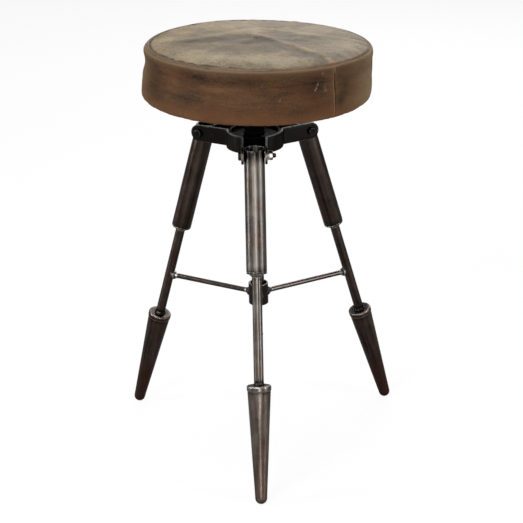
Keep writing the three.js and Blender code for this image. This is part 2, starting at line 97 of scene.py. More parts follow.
class Graph:
    """One procedural material, built round the Principled shader."""

    def __init__(self, name, **uniform):
        self.material = bpy.data.materials.new(name)
        self.material.use_nodes = True
        self.tree = self.material.node_tree
        self.shader = self.tree.nodes["Principled BSDF"]
        for socket, value in uniform.items():
            self.shader.inputs[socket.replace("_", " ")].default_value = value
        self.place = self.node("ShaderNodeAttribute", attribute_name="own").outputs["Vector"]

    def node(self, kind, inputs=None, **settings):
        made = self.tree.nodes.new(kind)
        for key, value in settings.items():
            setattr(made, key, value)
        for socket, value in (inputs or {}).items():
            self.put(made.inputs[socket], value)
        return made

    def put(self, socket, value):
        if isinstance(value, bpy.types.NodeSocket):
            self.tree.links.new(value, socket)
        else:
            socket.default_value = value

    def stretch(self, x, y, z, place=None):
        scale = {0: place or self.place, 3: (x, y, z)}
        return self.node("ShaderNodeMapping", scale).outputs[0]

    def noise(self, scale, detail=4, rough=0.55, place=None, seed=0, distortion=0):
        inputs = {"Vector": place or self.place, "W": seed, "Scale": scale, "Detail": detail}
        inputs.update({"Roughness": rough, "Distortion": distortion})
        return self.node("ShaderNodeTexNoise", inputs, noise_dimensions="4D").outputs[0]

    def cells(self, scale, feature="F1"):
        inputs = {"Vector": self.place, "Scale": scale}
        return self.node("ShaderNodeTexVoronoi", inputs, feature=feature).outputs[0]

    def range(self, value, low, high, to_low=0, to_high=1):
        inputs = {0: value, 1: low, 2: high, 3: to_low, 4: to_high}
        return self.node("ShaderNodeMapRange", inputs, clamp=True).outputs[0]

    def sum(self, *terms):
        """The sum of (value, factor) pairs."""
        total = None
        for value, factor in terms:
            inputs = {0: value, 1: factor, 2: total if total is not None else 0}
            total = self.node("ShaderNodeMath", inputs, operation="MULTIPLY_ADD").outputs[0]
        return total

    def times(self, a, b):
        return self.node("ShaderNodeMath", {0: a, 1: b}, operation="MULTIPLY").outputs[0]

    def mix(self, factor, a, b):
        """Between two colours, each a socket or (red, green, blue) of 0 to 255."""
        a, b = (srgb(*c) if isinstance(c, tuple) else c for c in (a, b))
        inputs = {0: factor, 6: a, 7: b}
        return self.node("ShaderNodeMix", inputs, data_type="RGBA").outputs[2]

    def mark(self, name):
        return self.node("ShaderNodeAttribute", attribute_name=name).outputs["Fac"]

    def finish(self, colour, rough, height, relief):
        """Sets colour, roughness and a bump of that height in metres."""
        self.put(self.shader.inputs["Base Color"], colour)
        self.put(self.shader.inputs["Roughness"], rough)
        bump = self.node("ShaderNodeBump", {"Strength": 1.0, "Distance": height, "Height": relief})
        self.put(self.shader.inputs["Normal"], bump.outputs[0])
        return self.material


def steel(name, dark, light, edge, seed, rough, along=3.5, across=150, rusty=0.75):
    """Burnished steel with streaks along the piece's Z axis, stains, fine pits, worn edges, and a near-black
    darkening that is soot and drips in places and painted shade in others.
    """
    g = Graph(name, Metallic=1.0, Coat_Weight=0.25, Coat_Roughness=0.25)
    streaks = g.noise(1, 5, 0.6, g.stretch(across, across, along), seed)
    fine = g.noise(1, 3, 0.6, g.stretch(across * 5, across * 5, along * 3), seed + 3)
    stain = g.noise(34, 4, 0.6, seed=seed + 7, distortion=0.6)
    pits = g.noise(1500, 2, 0.7, seed=seed + 11)
    tone = g.range(g.sum((streaks, 0.62), (stain, 0.22), (fine, 0.2)), 0.4, 0.68)
    rubbed = g.range(g.sum((g.mark("wear"), 1), (g.mark("dull"), -1)), 0, 1)
    worn = g.times(rubbed, g.range(g.noise(160, 3, seed=seed + 5), 0.3, 0.55, 0.35, 1))
    drips = g.noise(1, 4, 0.65, g.stretch(420, 420, 60), seed + 9)
    # Darkening by the mark and the drips: soot, and painted shade where a piece marks it (inside the pipes,
    # the end plates)
    soot_and_shade = g.range(g.sum((g.mark("soot_and_shade"), 1.5), (drips, 1)), 0.75, 1.35, 0, 0.92)
    bare = g.mix(tone, dark, light)
    patches = g.sum((g.noise(22, 4, 0.6, seed=seed + 13), 1), (g.mark("rust"), 0.35))
    rust = g.range(patches, 0.5, 0.72, 0, rusty)
    bare = g.mix(rust, bare, tuple(c * k for c, k in zip(light, RUST_TINT)))
    colour = g.mix(worn, g.mix(soot_and_shade, bare, SOOT_AND_SHADE), edge)
    roughness = g.range(g.sum((stain, 0.6), (fine, 0.4)), 0.3, 0.7, *rough)
    relief = g.sum((streaks, 0.3), (fine, 0.12), (pits, 0.12), (stain, 0.25))
    return g.finish(colour, roughness, 0.00006, relief)


def painted(name, base, worn_colour, seed, rough=(0.35, 0.6), coat=0.15):
    """Blackened flat bar: a mottled dark skin, rubbed bright along its edges."""
    g = Graph(name, Metallic=0.95, Coat_Weight=coat, Coat_Roughness=0.3)
    mottle = g.noise(90, 5, 0.65, seed=seed)
    scale_marks = g.noise(420, 4, 0.7, seed=seed + 2)
    pits = g.noise(1300, 2, 0.7, seed=seed + 4)
    edge = g.times(g.mark("wear"), g.range(g.noise(240, 4, 0.7, seed=seed + 6), 0.35, 0.6, 0.15, 1))
    rub = g.range(g.sum((mottle, 0.6), (scale_marks, 0.4)), 0.58, 0.72, 0, 0.35)
    dark = g.mix(mottle, base, tuple(c * 1.7 for c in base))
    colour = g.mix(g.sum((edge, 1), (rub, 0.5)), dark, worn_colour)
    relief = g.sum((mottle, 0.5), (scale_marks, 0.35), (pits, 0.2))
    return g.finish(colour, g.range(mottle, 0.3, 0.7, *rough), 0.00018, relief)


def leather_relief(g, coarse, fine):
    """Pebbled grain with finer pores and shallow creases between the cells."""
    warped = g.noise(60, 3, 0.5, seed=2)
    pebbles = g.cells(coarse, feature="SMOOTH_F1")
    pores = g.noise(fine, 3, 0.65, seed=5)
    wrinkles = g.cells(coarse * 0.22, feature="DISTANCE_TO_EDGE")
    return g.sum((pebbles, -0.5), (pores, 0.35), (g.range(wrinkles, 0, 0.08), 0.25), (warped, 0.6))


def top_leather():
    """Greyed tan top panel: cloudy dark stains, scuffs, and folds with a painted highlight along their ridges
    and painted shade beside them.
    """
    g = Graph("leather_top", Specular_IOR_Level=0.16)
    clouds = g.noise(13, 5, 0.6, seed=1, distortion=0.8)
    drift = g.noise(38, 6, 0.66, seed=4, distortion=0.5)
    scuff = g.noise(1, 5, 0.65, g.stretch(110, 260, 110), seed=8)
    specks = g.noise(400, 4, 0.75, seed=9)
    # The tone mark holds the stains, and the painted highlight and shade of the folds, puckers and welt
    # groove
    tone = g.sum((clouds, 0.6), (drift, 0.65), (scuff, 0.7), (specks, 1.1), (g.mark("tone"), 0.34))
    level = g.range(tone, 1.06, 2.04)
    dark = g.mix(level, (66, 56, 43), (144, 129, 105))
    tan = g.mix(g.range(level, 0.4, 1.05), dark, (162, 147, 119))
    cool = g.mix(g.range(g.noise(17, 4, seed=21), 0.48, 0.66, 0, 0.4), tan, (104, 99, 84))
    warm = g.mix(g.range(g.noise(23, 4, seed=31), 0.52, 0.7, 0, 0.35), cool, (128, 104, 74))
    rough = g.range(g.sum((drift, 0.6), (specks, 0.4)), 0.35, 0.65, 0.5, 0.68)
    return g.finish(warm, rough, 0.0008, leather_relief(g, 720, 1900))


def around(g):
    """Coordinates that unroll the band: metres round it from the butt seam, height, radius."""
    turned = g.node("ShaderNodeMapping", {0: g.place, 2: (0, 0, pi - BUTT_SEAM)}).outputs[0]
    x, y, z = g.node("ShaderNodeSeparateXYZ", {0: turned}).outputs
    angle = g.node("ShaderNodeMath", {0: y, 1: x}, operation="ARCTAN2").outputs[0]
    return g.node("ShaderNodeCombineXYZ", {0: g.times(angle, SEAT_R * MM), 1: z, 2: 0.0}).outputs[0], z


def band_leather():
    """Dark brown side band, streaked along its length, redder and lighter towards its lower edge, with a
    painted olive-grey sheen where it turns away at its left and right ends.
    """
    g = Graph("leather_band", Specular_IOR_Level=0.14)
    unrolled, height = around(g)
    streaks = g.noise(1, 6, 0.66, g.stretch(16, 150, 1, unrolled), seed=3, distortion=0.4)
    patches = g.noise(1, 6, 0.66, g.stretch(13, 32, 1, unrolled), seed=6, distortion=0.7)
    threads = g.noise(1, 4, 0.75, g.stretch(60, 560, 1, unrolled), seed=12)
    specks = g.noise(420, 4, 0.75, seed=15)
    # The tone mark holds the band's stains, a painted highlight over the butt seam and a painted shade line
    # along it
    tone = g.sum((streaks, 0.55), (patches, 0.55), (threads, 0.6), (specks, 0.8), (g.mark("tone"), 0.45))
    level = g.range(tone, 0.94, 1.62)
    brown = g.mix(level, (24, 15, 7), (97, 66, 39))
    redder = g.noise(1, 4, 0.6, g.stretch(14, 40, 1, unrolled), seed=18)
    red = g.mix(g.range(redder, 0.5, 0.66, 0, 0.55), brown, (72, 39, 19))
    low = g.range(g.sum((height, 1), (streaks, 0.022)), 0.631, 0.655, 1, 0)
    tan = g.mix(g.times(low, 0.5), red, (106, 68, 38))
    high = g.range(g.sum((height, 1), (patches, 0.012)), 0.684, 0.702, 0, 0.5)
    rim = g.range(height, 0.6865, 0.6905, 0, 0.6)
    grey = g.mix(rim, g.mix(high, tan, (88, 70, 50)), (128, 110, 86))
    # Painted sheen: olive grey at the band's left and right ends, and a little at its back
    sheen_share = g.times(g.mark("olive_sheen"), g.range(patches, 0.3, 0.62, 0.5, 1))
    olive_sheen = g.mix(sheen_share, grey, (128, 108, 80))
    pale = g.mix(g.mark("scratch"), olive_sheen, (190, 170, 146))
    rough = g.range(g.sum((patches, 0.6), (specks, 0.4)), 0.35, 0.65, 0.46, 0.66)
    return g.finish(pale, rough, 0.0008, leather_relief(g, 760, 1900))


def edge_leather():
    """Raw, lighter leather of the seam lips and the turned-in hem; on the butt seam's left lip its lightness
    is a painted highlight.
    """
    g = Graph("leather_edge", Specular_IOR_Level=0.35)
    clouds = g.noise(45, 4, 0.6, seed=2)
    fibres = g.noise(900, 4, 0.7, seed=4)
    level = g.range(g.sum((clouds, 0.8), (fibres, 0.35)), 0.4, 0.8)
    grey = g.mix(level, (66, 52, 38), (118, 98, 74))
    colour = g.mix(g.mark("tan"), grey, g.mix(level, (92, 56, 30), (134, 86, 50)))
    relief = g.sum((fibres, 0.6), (clouds, 0.4))
    return g.finish(colour, g.range(clouds, 0.3, 0.7, 0.5, 0.7), 0.0003, relief)


def plywood():
    g = Graph("plywood", Specular_IOR_Level=0.3)
    grain = g.noise(1, 6, 0.65, g.stretch(14, 260, 90), seed=1, distortion=0.5)
    plies = g.node("ShaderNodeTexWave", {"Vector": g.place, "Scale": 210.0, "Distortion": 0.4},
                   bands_direction="Z").outputs[1]
    colour = g.mix(g.range(grain, 0.35, 0.7), (150, 112, 68), (206, 170, 118))
    colour = g.mix(g.range(plies, 0.4, 0.6, 0, 0.35), colour, (120, 86, 52))
    return g.finish(colour, g.range(grain, 0.3, 0.7, 0.6, 0.8), 0.0003, grain)


def foam():
    g = Graph("foam", Specular_IOR_Level=0.2)
    pores = g.cells(900)
    colour = g.mix(g.range(pores, 0.1, 0.6), (196, 176, 112), (226, 210, 150))
    colour = g.mix(g.range(g.noise(20), 0.4, 0.7, 0, 0.4), colour, (200, 168, 96))
    return g.finish(colour, g.range(pores, 0, 1, 0.8, 0.95), 0.0006, pores)


def dust_cloth():
    g = Graph("dust_cloth", Specular_IOR_Level=0.25)
    weave = [g.node("ShaderNodeTexWave", {"Vector": g.place, "Scale": 330.0, "Distortion": 0.6},
                    bands_direction=axis).outputs[1] for axis in "XY"]
    fibres = g.noise(700, 4, 0.7, seed=3)
    relief = g.sum((weave[0], 0.4), (weave[1], 0.4), (fibres, 0.5))
    colour = g.mix(g.range(relief, 0.4, 1), (17, 17, 18), (44, 43, 42))
    return g.finish(colour, g.range(fibres, 0.3, 0.7, 0.8, 0.95), 0.0003, relief)


MATERIAL = {
    "bracket": painted("steel_bracket", (16, 13, 11), (176, 168, 156), 5),
    # Near black: the blackened steel inside the ring and under the seat, darkened further as painted shade
    "shaded_black": painted("steel_shaded_black", (5, 5, 5), (46, 43, 40), 15, (0.65, 0.85), 0),
    "black": painted("bolt_black", (13, 12, 11), (96, 92, 86), 41),
    "top": top_leather(), "band": band_leather(), "edge": edge_leather(),
    "plywood": plywood(), "foam": foam(), "dust": dust_cloth(),
}
TURNED = {"along": 200, "across": 200}  # streaks as fine along a piece as across it
PLATED = {"along": 120, "across": 120}
# The other metals: look, material, darkest, lightest and worn colour, seed, roughness, what else differs
for look, *finish, other in (
    # leg_front and leg_side, and foot_front and foot_side, are lit and shaded copies of one steel: painted
    # light on the front leg and foot, painted shade on the side ones
    ("leg_front", "steel_leg_front", (42, 37, 34), (162, 155, 147), (212, 207, 199), 1, (0.26, 0.42),
     {"rusty": 0.4}),
    ("leg_side", "steel_leg_side", (40, 31, 27), (112, 96, 86), (200, 190, 180), 31, (0.32, 0.5), {}),
    ("tie", "steel_tie", (46, 40, 37), (124, 114, 108), (196, 190, 184), 201, (0.26, 0.42), {}),
    ("hub", "steel_hub", (30, 23, 20), (74, 60, 53), (150, 142, 134), 221, (0.34, 0.5), {}),
    ("foot_front", "steel_foot_front", (56, 47, 42), (172, 157, 146), (206, 198, 190), 61, (0.28, 0.45),
     {"rusty": 0.25}),
    ("foot_side", "steel_foot_side", (42, 33, 30), (112, 92, 84), (176, 164, 154), 91, (0.32, 0.5), {}),
    ("screw", "steel_screw", (40, 34, 29), (120, 108, 96), (176, 166, 150), 121, (0.3, 0.45), TURNED),
    ("zinc", "zinc_plate", (150, 146, 136), (214, 210, 200), (235, 232, 226), 151, (0.22, 0.4), PLATED),
    ("bronze", "bronze", (120, 82, 44), (184, 138, 82), (214, 176, 120), 181, (0.25, 0.42), TURNED),
):
    MATERIAL[look] = steel(*finish, **other)
SLOT = {
    "leg_front": "leg_steel", "leg_side": "leg_steel", "tie": "leg_steel", "hub": "leg_steel",
    "foot_front": "foot_steel", "foot_side": "foot_steel", "screw": "spindle_steel",
    "bracket": "bracket_steel", "shaded_black": "bracket_steel", "black": "bolt_black",
    "top": "leather", "band": "leather", "edge": "leather_edge", "dust": "dust_cloth",
}  # the other looks are named like their slots

# ---- mesh helpers ----


def add(name, data):
    """A new object in the scene."""
    made = bpy.data.objects.new(name, data)
    bpy.context.scene.collection.objects.link(made)
    return made


def points_of(mesh):
    co = np.zeros(len(mesh.vertices) * 3)
    mesh.vertices.foreach_get("co", co)
    return co.reshape(-1, 3)


def put_points(mesh, co):
    mesh.vertices.foreach_set("co", co.ravel())
    mesh.update()


def set_mark(mesh, name, values):
    """Gives each point a number that a material reads by that name."""
    mark = mesh.attributes.get(name) or mesh.attributes.new(name, "FLOAT", "POINT")
    mark.data.foreach_set("value", np.asarray(values, np.float32))


def piece(name, verts, faces, look, body, nodes=(), matrix=None, wear=None, marks=None):
    """Makes one visible piece from millimetre points, parents it to the body that it rides on, and hides the
    CAD nodes that it stands for.
    """
    mesh = bpy.data.meshes.new(name)
    mesh.from_pydata([tuple(c * MM for c in v) for v in verts], [], faces)
    own = mesh.attributes.new("own", "FLOAT_VECTOR", "POINT")
    own.data.foreach_set("vector", points_of(mesh).ravel().astype(np.float32))
    if matrix is not None:
        mesh.transform(matrix)
    mesh.update()
    mesh.shade_smooth()
    for key, values in {"wear": wear, **(marks or {})}.items():
        if values is not None:
            set_mark(mesh, key, values)
    mesh.materials.append(MATERIAL[look])
    made = add(name, mesh)
    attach(made, body)
    SLOT.get(look, look)
    if nodes:
        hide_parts(*nodes)
    return made


def fillet(points, loop=False, steps=4):
    """Rounds each corner (x, y, radius) of a line; the third number out is 1 in the middle of a round."""
    out = []
    last = len(points) - 1
    for i, (x, y, radius) in enumerate(points):
        if not radius or (not loop and i in (0, last)):
            out.append((x, y, 0))
            continue
        corner = Vector((x, y))
        before = Vector(points[i - 1][:2]) - corner
        after = Vector(points[(i + 1) % len(points)][:2]) - corner
        start = corner + before.normalized() * min(radius, before.length * 0.49)
        end = corner + after.normalized() * min(radius, after.length * 0.49)
        for k in range(steps + 1):
            t = k / steps
            p = start * (1 - t) ** 2 + corner * 2 * t * (1 - t) + end * t * t
            out.append((p.x, p.y, sin(pi * t)))
    return out


def spaced(line, step):
    """Adds points so that no stretch of the line is longer than step."""
    out = [line[0]]
    for a, b in zip(line, line[1:]):
        count = max(1, math.ceil(math.dist(a[:2], b[:2]) / step))
        out += [tuple(p + (q - p) * k / count for p, q in zip(a, b)) for k in range(1, count + 1)]
    return out


def bridge(rows, sides, loop):
    """Quads between rows of sides points each."""
    pairs = list(zip(range(rows), range(1, rows))) + ([(rows - 1, 0)] if loop else [])
    return [
        (a * sides + i, a * sides + (i + 1) % sides, b * sides + (i + 1) % sides, b * sides + i)
        for a, b in pairs for i in range(sides)
    ]


def bar_faces(rows, sides):
    """The faces of a closed bar: quads between its rows of points, and its two ends."""
    last = (rows - 1) * sides
    return bridge(rows, sides, False) + [tuple(range(sides))[::-1], tuple(range(last, last + sides))]


def lathe(line, sides, warp=None):
    """Turns (radius, z, wear) points about Z. A line that starts and ends on the axis is capped."""
    capped = line[0][0] == 0
    rings = line[1:-1] if capped else line
    verts, wear = [], []
    for r, z, w in rings:
        for i in range(sides):
            a = 2 * pi * i / sides
            p = (r * cos(a), r * sin(a), z)
            verts.append(warp(*p, a) if warp else p)
            wear.append(w)
    faces = bridge(len(rings), sides, not capped)
    if capped:
        for (_, z, w), row, flip in ((line[0], 0, 1), (line[-1], len(rings) - 1, 0)):
            tip = len(verts)
            verts.append((0, 0, z))
            wear.append(w)
            ring = [row * sides + i for i in range(sides)]
            fan = [(ring[i], ring[(i + 1) % sides], tip) for i in range(sides)]
            faces += [f[::-1] for f in fan] if flip else fan
    return verts, faces, wear


def turned(name, corners, sides, look, body, nodes=(), matrix=None, warp=None, step=None, marks=None):
    """A turned piece from profile corners (radius, z, fillet). marks gives each mark from radius and z."""
    closed = corners[0][0] != 0
    line = fillet(corners, loop=closed)
    if step:
        line = spaced(line + line[:1], step)[:-1] if closed else spaced(line, step)
    verts, faces, wear = lathe(line, sides, warp)
    made = {key: [rule(hypot(x, y), z) for x, y, z in verts] for key, rule in (marks or {}).items()}
    return piece(name, verts, faces, look, body, nodes, matrix, wear, made)


def hexed(across, reach):
    """Clips a turned piece to a hexagon for z between reach's two ends."""
    def warp(x, y, z, a):
        if not reach[0] <= z <= reach[1]:
            return x, y, z
        r = hypot(x, y)
        flat = across / 2 / cos((a + pi / 6) % (pi / 3) - pi / 6)
        k = min(1, flat / r) if r else 1
        return x * k, y * k, z
    return warp


def arc(x, y, radius, start, end, count):
    """Points along an arc round (x, y), from one angle to another."""
    return [(x + radius * cos(t), y + radius * sin(t)) for t in np.linspace(start, end, count)]


def bell(offset, width):
    """1 where offset is 0, falling away smoothly over width to both sides."""
    return np.exp(-(offset / width) ** 2)


def waver(x, y, z, size, scale, seed):
    """A small smooth shift of a point, the same each run."""
    return size * noise.noise(Vector((x * scale, y * scale, z * scale + seed * 17.3)))


def rotate(angle, axis):
    return Matrix.Rotation(angle, 4, axis)


def shift(x, y, z):
    """A move by millimetres."""
    return Matrix.Translation((x * MM, y * MM, z * MM))


def outward(angle):
    """The direction away from the seat's axis, at that angle round it."""
    return Vector((cos(angle), sin(angle), 0))


def leg_matrix(azimuth):
    """The frame of a leg: its origin on the bolt's axis, its Z axis up the leg."""
    return rotate(radians(azimuth), "Z") @ shift(PIVOT_R, 0, PIVOT_Z) @ rotate(-LEG_TILT, "Y")


def across(matrix, side):
    """The frame whose Z axis is a leg's bolt, towards that side."""
    return matrix @ rotate(-side * pi / 2, "X")


# ---- legs ----


def leg_tube(place, matrix, look, seed):
    """Pipe with a level top, square lower end and slightly uneven, hand-rubbed walls."""
    inner, top = TUBE_R - TUBE_WALL, TUBE_TOP / cos(LEG_TILT)
    corners = [(inner, -TUBE_BELOW, 0.5), (TUBE_R, -TUBE_BELOW, 0.9), (TUBE_R, top, 0.9), (inner, top, 0.9)]

    def warp(x, y, z, a):
        r = hypot(x, y)
        bump = waver(x, y, z * 0.35, 0.16, 0.07, seed) if r > inner + 1 else 0
        k = 1 + bump / r
        level = max(0, (z + TUBE_TOP) / (top + TUBE_TOP)) ** 0.5 if z > -TUBE_TOP else 0
        return x * k, y * k, z - x * math.tan(LEG_TILT) * level

    # Painted shade on the pipe's inside wall; outside it, darker towards both ends
    def soot_and_shade(r, z):
        ends = max(0, (z + 24) / 34) * 0.75, max(0, (-168 - z) / 22) * 0.5
        return 1 if r < TUBE_R - 1 else min(1, max(ends))
    turned(f"pipe_{place}", corners, 72, look, "base", [f"leg_tube_{place}"], matrix, warp, step=5,
           marks={"soot_and_shade": soot_and_shade})


def end_plate(place, matrix, look, seed):
    """Dished plate welded into the pipe's lower end."""
    top, hole, spigot = -TUBE_BELOW - GAP, ROD_R + GAP, TUBE_R - TUBE_WALL - GAP
    corners = [
        (hole, top - CAP_T, 0.4), (TUBE_R - 0.2, top - CAP_T, 2.6), (TUBE_R, top, 0.6),
        (spigot, top, 0), (spigot, top + 10, 0.6), (hole, top + 10, 0.6),
    ]

    def warp(x, y, z, a):
        k = 1 + (waver(x, y, z, 0.35, 0.28, seed) if z < top - 0.2 else 0) / TUBE_R
        return x * k, y * k, z
    # Darkened all over: painted shade, as the plate faces down under the pipe
    turned(f"end_plate_{place}", corners, 72, look, "base", [f"tube_end_plate_{place}"], matrix, warp,
           marks={"soot_and_shade": lambda r, z: 0.55})


def weld_warp(ends, size, seed):
    """Makes the weld beads near those heights lumpy."""
    def warp(x, y, z, a):
        r = hypot(x, y)
        near = max(bell(z - end, 3.5) for end in ends)
        rough = noise.noise(Vector((x * 0.5, y * 0.5, z * 0.5 + seed)))
        lump = near * size * (sin(a * 9 + seed) * 0.35 + rough)
        k = 1 + (lump + waver(x, y, z * 0.3, 0.1, 0.09, seed)) / max(r, 1)
        return x * k, y * k, z + near * lump * 0.4
    return warp


def leg_rod(place, matrix, look, seed):
    """Bar from inside the pipe into the foot, with a weld bead where it enters each."""
    cap, foot_top = -TUBE_BELOW - CAP_T - 2 * GAP, -FOOT_TOP + GAP
    low, top = -FOOT_TOP - FOOT_BORE + 1, -TUBE_BELOW + ROD_IN_TUBE
    corners = [
        (0, low, 0), (ROD_R, low, 0.8), (ROD_R, foot_top, 0.2), (ROD_R + 2.2, foot_top, 0.5),
        (ROD_R + 1.6, foot_top + 1, 0.8), (ROD_R, foot_top + 2.6, 1.2), (ROD_R, cap - 4.4, 2),
        (ROD_R + 3.2, cap - 1.5, 1.2), (ROD_R + 4, cap, 0.6), (ROD_R, cap, 0.2),
        (ROD_R, top, 0.8), (0, top, 0),
    ]
    turned(f"rod_{place}", corners, 48, look, "base", [f"leg_rod_{place}"], matrix,
           weld_warp((foot_top + 1.5, cap - 1.5), 0.7, seed), step=6,
           marks={"soot_and_shade": lambda r, z: bell(z - foot_top, 8) + 0.35 * bell(z - cap, 6),
                  "dull": lambda r, z: bell(z - foot_top, 6)})


def foot(place, matrix, look, seed):
    """Long tapered foot, bored for the rod, worn flat where it meets the floor."""
    tip = -(PIVOT_Z - FOOT_TIP_R + FOOT_WEAR) / cos(LEG_TILT)
    taper = math.atan2(FOOT_TOP_R - FOOT_TIP_R, -FOOT_TOP - tip)
    bore, low = ROD_R + GAP, -FOOT_TOP - FOOT_BORE
    corners = [(r, z, 0) for r, z in arc(0, tip, FOOT_TIP_R, -pi / 2, -taper, 12)]
    corners[0] = (0, tip - FOOT_TIP_R, 0)
    rim = -FOOT_TOP - 8.5
    corners += [
        (FOOT_TOP_R - 0.9, rim - 0.6, 0.5), (FOOT_TOP_R - 0.1, rim + 0.5, 0.5),
        (FOOT_TOP_R, -FOOT_TOP - 1.6, 0.8), (FOOT_TOP_R - 1.2, -FOOT_TOP, 0.8), (bore + 1.6, -FOOT_TOP, 0.5),
        (bore, -FOOT_TOP - 1, 0.5), (bore, low, 0.4), (0, low, 0),
    ]
    up = matrix.inverted().to_3x3() @ Vector((0, 0, 1))

    def warp(x, y, z, a):
        r = hypot(x, y)
        k = 1 + (waver(x, y, z * 0.3, 0.14, 0.06, seed) / r if r > bore + 2 else 0)
        p = Vector((x * k, y * k, z))
        return tuple(p + up * max(0, -PIVOT_Z - up.dot(p)))

    # Darker on the top face round the rod and in a band just below the rim
    def soot_and_shade(r, z):
        if r < FOOT_TOP_R - 2 and z > -FOOT_TOP - 1.5:
            return 0.85 if r < bore + 3 else 0.5
        return 0.55 * bell(z - rim + 3, 4)
    turned(f"shoe_{place}", corners, 72, look, "base", [f"foot_{place}"], matrix, warp, step=6,
           marks={"soot_and_shade": soot_and_shade, "dull": lambda r, z: 0.9 * (r < bore + 3),
                  "rust": lambda r, z: max(0, (-FOOT_TOP - 70 - z) / 110)})


def bolts(place, matrix, side):
    """Hex bolt through both ears, with its washer, nut and rounded end."""
    start = EAR_OUTER + GAP
    end = start + BOLT_WASHER_T + GAP + BOLT_NUT_T + BOLT_END
    top = start + HEAD_T
    head = across(matrix, side)
    thread = start + BOLT_WASHER_T
    corners = [
        (0, -end, 0), (BOLT_R - 1.6, -end, 0.6), (BOLT_R, -end + 2, 0.6), (BOLT_R, start, 0.2),
        (HEX_CORNER, start, 0.3), (HEX_CORNER, top - 1.1, 0), (HEX_CHAMFER, top, 0.5), (0, top, 0),
    ]
    clip = hexed(HEX, (start - 0.01, top + 0.01))

    def warp(x, y, z, a):
        if -end + 1.6 < z < -thread:
            k = 1 - 0.09 * (0.5 + 0.5 * cos(2 * pi * (z / 1.25 - a / (2 * pi))))
            return x * k, y * k, z
        return clip(x, y, z, a)
    turned(f"bolt_{place}", corners, 60, "black", "base", [f"leg_bolt_{place}"], head, warp, step=0.35)
    tail = across(matrix, -side)
    washer = [
        (BOLT_R + GAP, start, 0.3), (BOLT_WASHER_R, start, 0.4),
        (BOLT_WASHER_R, start + BOLT_WASHER_T, 0.5), (BOLT_R + GAP, start + BOLT_WASHER_T, 0.3),
    ]
    turned(f"washer_{place}", washer, 48, "zinc", "base", [f"bolt_washer_{place}"], tail)
    low = start + BOLT_WASHER_T + GAP
    high = low + BOLT_NUT_T
    nut = [
        (BOLT_R + GAP, low, 0.3), (HEX_CHAMFER, low, 0.4), (HEX_CORNER, low + 1, 0),
        (HEX_CORNER, high - 1, 0), (HEX_CHAMFER, high, 0.4), (BOLT_R + GAP, high, 0.5),
    ]
    turned(f"nut_{place}", nut, 60, "zinc", "base", [f"bolt_nut_{place}"], tail,
           hexed(HEX, (low - 0.01, high + 0.01)), step=0.7)


def tie_rod(place, azimuth, look, seed):
    """Rod from the low hub to a leg's bar, with a lumpy weld at each end."""
    axis_r = PIVOT_R + (PIVOT_Z - HUB_Z) * math.tan(LEG_TILT)
    near, far = HUB_R + GAP, axis_r - ROD_R / cos(LEG_TILT) - GAP
    corners = [
        (0, near - 1, 0), (TIE_R + 4.6, near - 1, 0.6), (TIE_R + 3.4, near + 1.2, 1.2), (TIE_R, near + 6, 3),
        (TIE_R, far - 8, 3), (TIE_R + 2.8, far - 2, 2), (TIE_R + 4.2, far + 1.5, 0.6), (0, far + 1.5, 0),
    ]
    matrix = rotate(radians(azimuth), "Z") @ shift(0, 0, HUB_Z) @ rotate(pi / 2, "Y")
    turned(f"tie_rod_{place}", corners, 36, look, "base", [f"stretcher_{place}"], matrix,
           weld_warp((near + 1, far - 1), 0.6, seed), step=5,
           marks={"soot_and_shade": lambda r, z: 0.45 * bell(z - near, 8) + 0.5 * bell(z - far, 8)})


# ---- bracket ----


def strap_half():
    """Middle line of half a strap seen from above, from its ear beside the leg at azimuth 0."""
    ring_r, ear_y = RING_R - STRAP_T / 2, EAR_INNER + STRAP_T / 2
    bend_y = ear_y + BEND_R
    bend_x = math.sqrt((ring_r + BEND_R) ** 2 - bend_y ** 2)
    bend = math.atan2(bend_y, bend_x)
    nose = [PIVOT_R + EAR_R * cos(t) for t in np.linspace(0.06, pi / 2, 9)]
    bar = [(x, ear_y) for x in nose + list(np.linspace(PIVOT_R - 6, bend_x + 3, 6))]
    curve = arc(bend_x, bend_y, BEND_R, -pi / 2, -pi + bend, 10)
    return bar + curve + arc(0, 0, ring_r, bend, pi / 3, 12)[1:]


def strap(name, azimuth, seed):
    """Flat bar on edge, bent round a third of the ring and out along two legs."""
    third = 2 * pi / 3
    half = strap_half()
    c, s = cos(third), sin(third)
    mirror = [(x * c + y * s, x * s - y * c) for x, y in half]
    line = half + mirror[:-1][::-1]
    t, h = STRAP_T / 2, STRAP_H / 2
    section = fillet([(-t, -h, 0.7), (t, -h, 0.7), (t, h, 0.7), (-t, h, 0.7)], loop=True, steps=3)
    section = spaced(section + section[:1], 5)[:-1]
    verts, wear = [], []
    for i, (x, y) in enumerate(line):
        a, b = line[max(i - 1, 0)], line[min(i + 1, len(line) - 1)]
        across_line = Vector((b[1] - a[1], a[0] - b[0])).normalized()
        out = max(0, max(x * cos(m) + y * sin(m) for m in (0, third)) - PIVOT_R)
        tall = math.sqrt(max(0, EAR_R ** 2 - out ** 2)) / EAR_R
        at_end = 1 if i in (0, len(line) - 1) else 0
        for u, v, w in section:
            lift = waver(x, y, v, 0.18, 0.06, seed)
            verts.append((x + across_line.x * (u + lift), y + across_line.y * (u + lift), PIVOT_Z + v * tall))
            wear.append(max(w, at_end, 0.5 * (out > EAR_R * 0.9)))
    faces = [f[::-1] for f in bar_faces(len(line), len(section))]
    matrix = rotate(radians(azimuth), "Z")
    piece(f"bent_bar_{name}", verts, faces, "bracket", "base", [f"strap_{name}"], matrix, wear)


def ring_piece(name, outer, inner, low, high, look, body, node, round_r, sides=72, step=None):
    corners = [(inner, low, round_r), (outer, low, round_r), (outer, high, round_r), (inner, high, round_r)]
    turned(name, corners, sides, look, body, [node], step=step)


